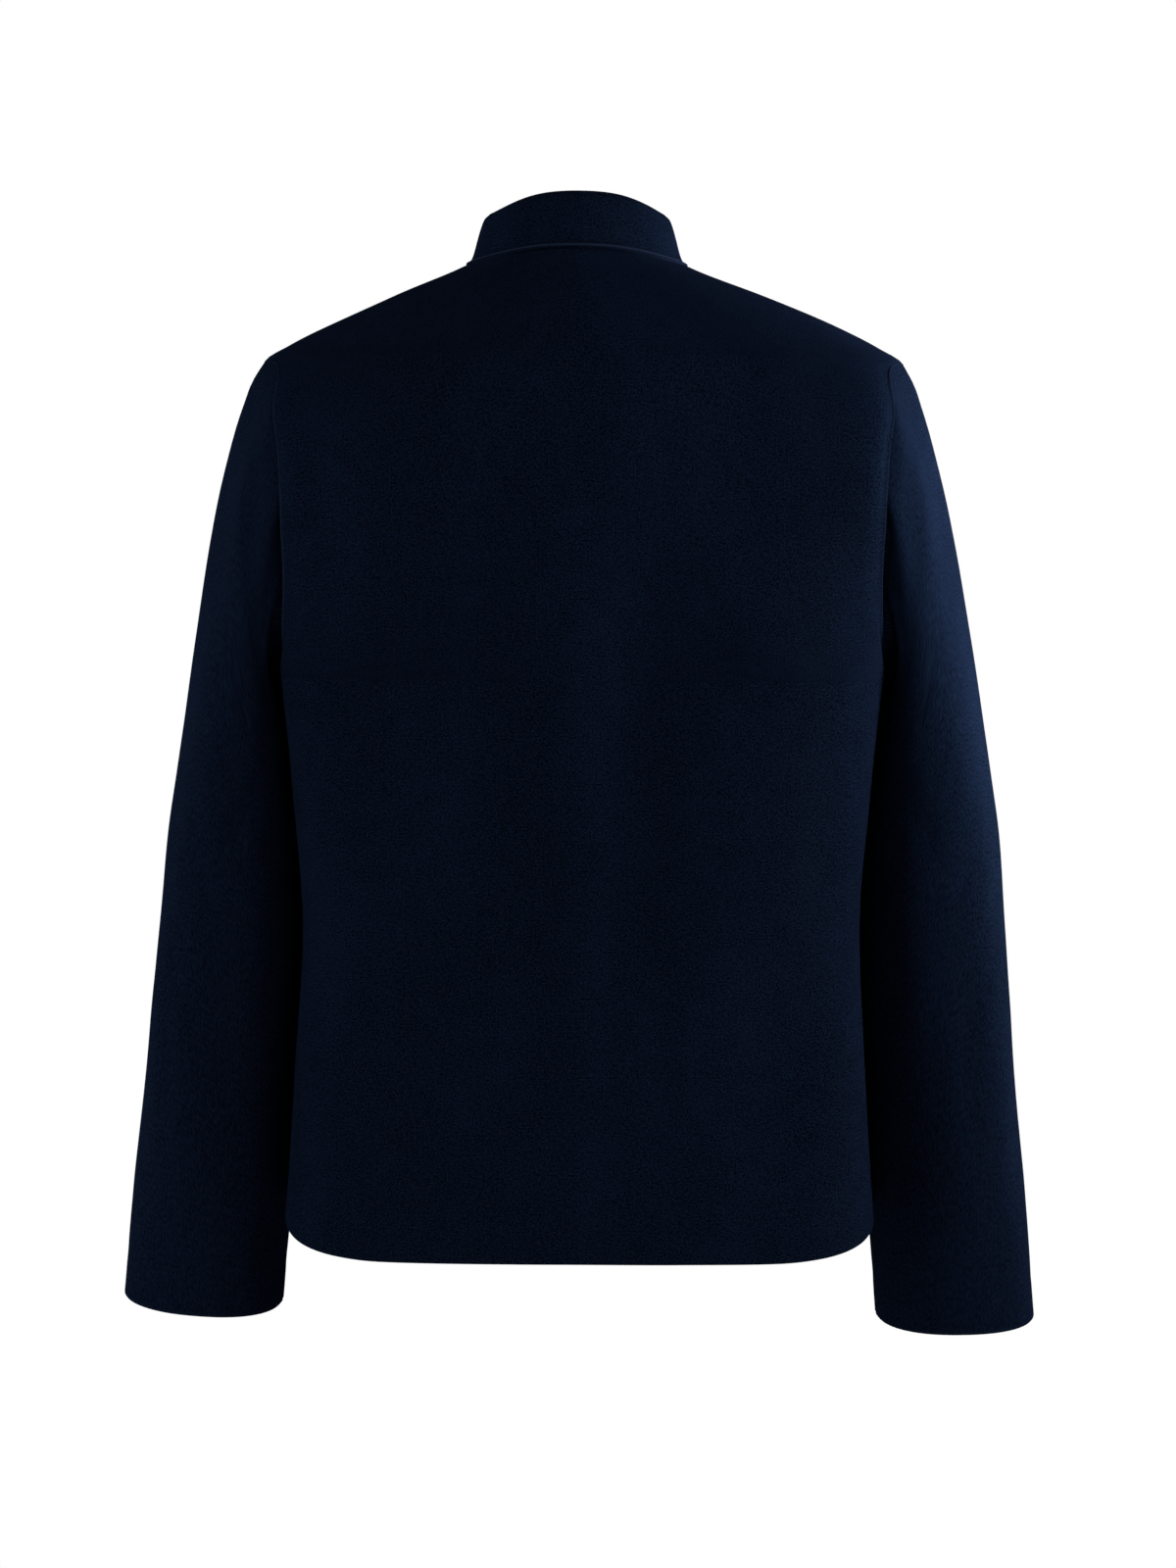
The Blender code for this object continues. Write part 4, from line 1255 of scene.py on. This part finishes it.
class JacketCloth(bpy.types.PropertyGroup):
    thickness: length_setting("Cloth", "Thickness of one layer of wool", 0.0018)
    collar_thickness: length_setting("Collar cloth", "Thickness of the folded collar", 0.0026)
    hem_turn: length_setting("Hem turn", "Depth of cloth turned up inside hem and cuffs", 0.030)
    nap: length_setting("Nap", "Depth of the wool's nap", 0.0006)
    colour: colour_setting("Wool", "Colour of the wool", COLOURS[CLOTH_SLOT])
    # Colour of the pale fibres, and of the painted highlight along rolled edges
    fibre_and_highlight_colour: colour_setting("Fibres", "Pale fibres and rubbed edges", (0.016, 0.026, 0.052))
    reverse_colour: colour_setting("Reverse", "Inner face of the wool", (0.0060, 0.0095, 0.0180))
    gloss: share_setting("Gloss", "Direct shine of the fibres", 0.0)
    sheen: share_setting("Sheen", "Light that the nap scatters at its edges", 0.006)
    sheen_spread: share_setting("Sheen spread", "How far the sheen reaches in", 0.45)
    sheen_colour: colour_setting("Sheen colour", "Tint of the sheen", (0.30, 0.45, 1.0))


class JacketSeams(bpy.types.PropertyGroup):
    lip: length_setting("Armhole edge", "Height of the rolled armhole edge", 0.0009)
    groove: length_setting("Armhole groove", "Depth of the edge at the seam", 0.0010)
    valley: length_setting("Armhole valley", "How deep the armhole seam lies", 0.0050)
    head_dip: length_setting("Sleeve dip", "Depth of a sleeve at its armhole", 0.0024)
    head_puff: length_setting("Sleeve swell", "Swell of a sleeve's head", 0.0008)
    dip: length_setting("Seam dip", "Depth of a plain pressed seam", 0.0007)
    puff: length_setting("Seam swell", "Swell beside a plain seam", 0.0003)
    neck_dip: length_setting("Neck dip", "Depth of the neck seam under the collar", 0.0015)
    collar_roll: length_setting("Collar roll", "How far the collar's lower edge stands out", 0.0023)
    hem_shade: length_setting("Hem line", "Depth of the pressed line above a hem", 0.00025)


class JacketFastenings(bpy.types.PropertyGroup):
    cord_radius: length_setting("Cord", "Radius of the rolled cord", 0.0016)
    knot_radius: length_setting("Knot cord", "Radius of the cord in a knot", 0.00155)
    thread_radius: length_setting("Thread", "Radius of the binding thread", 0.00026)


class JacketStage(bpy.types.PropertyGroup):
    floor_drop: length_setting("Floor", "Depth of the floor below the neck", 1.45)
    floor_radius: length_setting("Floor radius", "Radius of the round floor", 12.0)
    floor_colour: colour_setting("Floor colour", "Pale floor", (0.80, 0.80, 0.80))
    ambient: share_setting("Ambient", "Light from all round the studio", 0.012)


class JACKET_OT_body(bpy.types.Operator):
    """Make the back and the two fronts"""

    bl_idname = "jacket.body"
    bl_label = "Back and fronts"

    def execute(self, context):
        cloth = context.scene.jacket_cloth
        seams = context.scene.jacket_seams
        finish = wool_material("jacket_wool", cloth)
        panels = body_panels()
        fold = cloth.thickness / 2
        for side, node in ((0, "back"), (1, "front_left"), (-1, "front_right")):
            grid = panel_cloth(panels[side], side, cloth, seams)
            bulge = Bulge(bottom=fold, first=FRONT_ROUND if side else 0.0)
            add_cloth(node, grid, bulge, False, finish)
        return {"FINISHED"}


class JACKET_OT_sleeves(bpy.types.Operator):
    """Make the two set-in sleeves"""

    bl_idname = "jacket.sleeves"
    bl_label = "Sleeves"

    def execute(self, context):
        cloth = context.scene.jacket_cloth
        seams = context.scene.jacket_seams
        finish = bpy.data.materials["jacket_wool"]
        panels = body_panels()
        bulge = Bulge(top=cloth.thickness / 2)
        for hang in SLEEVE_SIDES:
            grid = sleeve_cloth(hang, panels, cloth, seams)
            add_cloth(hang.name, grid, bulge, True, finish)
        return {"FINISHED"}


class JACKET_OT_collar(bpy.types.Operator):
    """Make the stand collar"""

    bl_idname = "jacket.collar"
    bl_label = "Collar"

    def execute(self, context):
        cloth = context.scene.jacket_cloth
        grid = collar_cloth(body_panels(), cloth, context.scene.jacket_seams)
        fold = cloth.collar_thickness / 2
        bulge = Bulge(top=fold, first=FRONT_ROUND, last=FRONT_ROUND)
        add_cloth("collar", grid, bulge, False, bpy.data.materials["jacket_wool"])
        return {"FINISHED"}


class JACKET_OT_fastenings(bpy.types.Operator):
    """Make the knots, loops and bindings down the front"""

    bl_idname = "jacket.fastenings"
    bl_label = "Fastenings"

    def execute(self, context):
        sizes = context.scene.jacket_fastenings
        finish = wool_material("cord_wool", context.scene.jacket_cloth)
        roller = cord_tree()
        lift = SEAT + sizes.cord_radius
        loop = strip_route(LOOP_START, np.linspace(*EYE_TURNS, EYE_POINTS), EYE_RADIUS, 0.0)
        tail_turns = np.linspace(*TAIL_TURNS, TAIL_POINTS)
        tail = strip_route(TAIL_START + TAIL_TURN, tail_turns, TAIL_TURN, TAIL_START)
        strips = (("loop", loop, 1, LOOP_BINDINGS), ("tail", tail, -1, TAIL_BINDINGS))
        cord = (sizes.cord_radius, CORD_SPACING, CORD_SIDES, finish)
        knot_cord = (sizes.knot_radius, CORD_SPACING, CORD_SIDES, finish)
        thread = (sizes.thread_radius, THREAD_SPACING, THREAD_SIDES, finish)
        for number in range(1, FASTENINGS + 1):
            height = FIRST_FASTENING + (number - 1) * FASTENING_STEP
            for label, route, way, bindings in strips:
                node = f"{label}_{number}"
                path, _ = front_lift(way * route[:, 0], height + route[:, 1], lift)
                dress(add_cord(node + "_cord", [(path, False)], roller, *cord), [node])
                turns = []
                for across in bindings:
                    wound = binding_route(across, way, sizes.cord_radius, sizes.thread_radius)
                    middle, out = front_lift(wound[:, 0], height + wound[:, 1], lift)
                    turns.append((middle + wound[:, 2:] * out, False))
                dress(add_cord(node + "_thread", turns, roller, *thread), [])
            node = f"knot_{number}"
            paths = knot_paths(height, sizes.knot_radius)
            dress(add_cord(node + "_cord", paths, roller, *knot_cord), [node])
        return {"FINISHED"}


class JACKET_OT_stage(bpy.types.Operator):
    """Make the floor, the lights and the camera"""

    bl_idname = "jacket.stage"
    bl_label = "Studio"

    def execute(self, context):
        scene = context.scene
        stage = scene.jacket_stage
        bpy.ops.mesh.primitive_circle_add(
            vertices=FLOOR_SIDES,
            radius=stage.floor_radius,
            fill_type="NGON",
            location=(0, 0, -stage.floor_drop),
        )
        floor = context.object
        floor.name = "studio_floor"
        floor.data.materials.append(pale_material("pale_floor", stage.floor_colour))
        for lamp in LIGHTS:
            light = bpy.data.lights.new(lamp.name, "AREA")
            light.shape = "RECTANGLE"
            light.size = lamp.width
            light.size_y = lamp.height
            light.energy = lamp.power
            light.color = LIGHT_TINT
            placed = add_object(lamp.name, light)
            aim(placed, lamp.place, lamp.aim)
            placed.visible_camera = False
        world = bpy.data.worlds.new("studio")
        graph = cleared(world)
        dim, white = (
            graph.node("ShaderNodeBackground", sockets={"Color": tint((1, 1, 1)), "Strength": strength})
            for strength in (stage.ambient, 1.0)
        )
        show_white(graph, dim, white, "ShaderNodeOutputWorld")
        scene.world = world
        scene.view_settings.view_transform = "Standard"
        camera = bpy.data.cameras.new("photo_camera")
        camera.sensor_width = SENSOR
        camera.lens = FOCAL_PIXELS / PHOTO_LONG_SIDE * SENSOR
        placed = add_object("photo_camera", camera)
        aim(placed, CAMERA_PLACE, CAMERA_AIM, CAMERA_ROLL)
        scene.camera = placed
        return {"FINISHED"}


class JACKET_PT_panel(bpy.types.Panel):
    bl_idname = "JACKET_PT_panel"
    bl_label = "Jacket"
    bl_space_type = "VIEW_3D"
    bl_region_type = "UI"
    bl_category = "Jacket"

    def draw(self, context):
        for group, name in SETTINGS.items():
            box = self.layout.box()
            for setting in group.__annotations__:
                box.prop(getattr(context.scene, name), setting)
        for operator in OPERATORS:
            self.layout.operator(operator.bl_idname)


SETTINGS = {
    JacketCloth: "jacket_cloth",
    JacketSeams: "jacket_seams",
    JacketFastenings: "jacket_fastenings",
    JacketStage: "jacket_stage",
}
OPERATORS = (JACKET_OT_body, JACKET_OT_sleeves, JACKET_OT_collar, JACKET_OT_fastenings, JACKET_OT_stage)


def register():
    for group, name in SETTINGS.items():
        bpy.utils.register_class(group)
        setattr(bpy.types.Scene, name, bpy.props.PointerProperty(type=group))
    for operator in OPERATORS:
        bpy.utils.register_class(operator)
    bpy.utils.register_class(JACKET_PT_panel)


def unregister():
    bpy.utils.unregister_class(JACKET_PT_panel)
    for operator in reversed(OPERATORS):
        bpy.utils.unregister_class(operator)
    for group, name in SETTINGS.items():
        delattr(bpy.types.Scene, name)
        bpy.utils.unregister_class(group)


def main():
    register()
    bpy.ops.jacket.body()
    bpy.ops.jacket.sleeves()
    bpy.ops.jacket.collar()
    bpy.ops.jacket.fastenings()
    bpy.ops.jacket.stage()


if __name__ == "__main__":
    main()
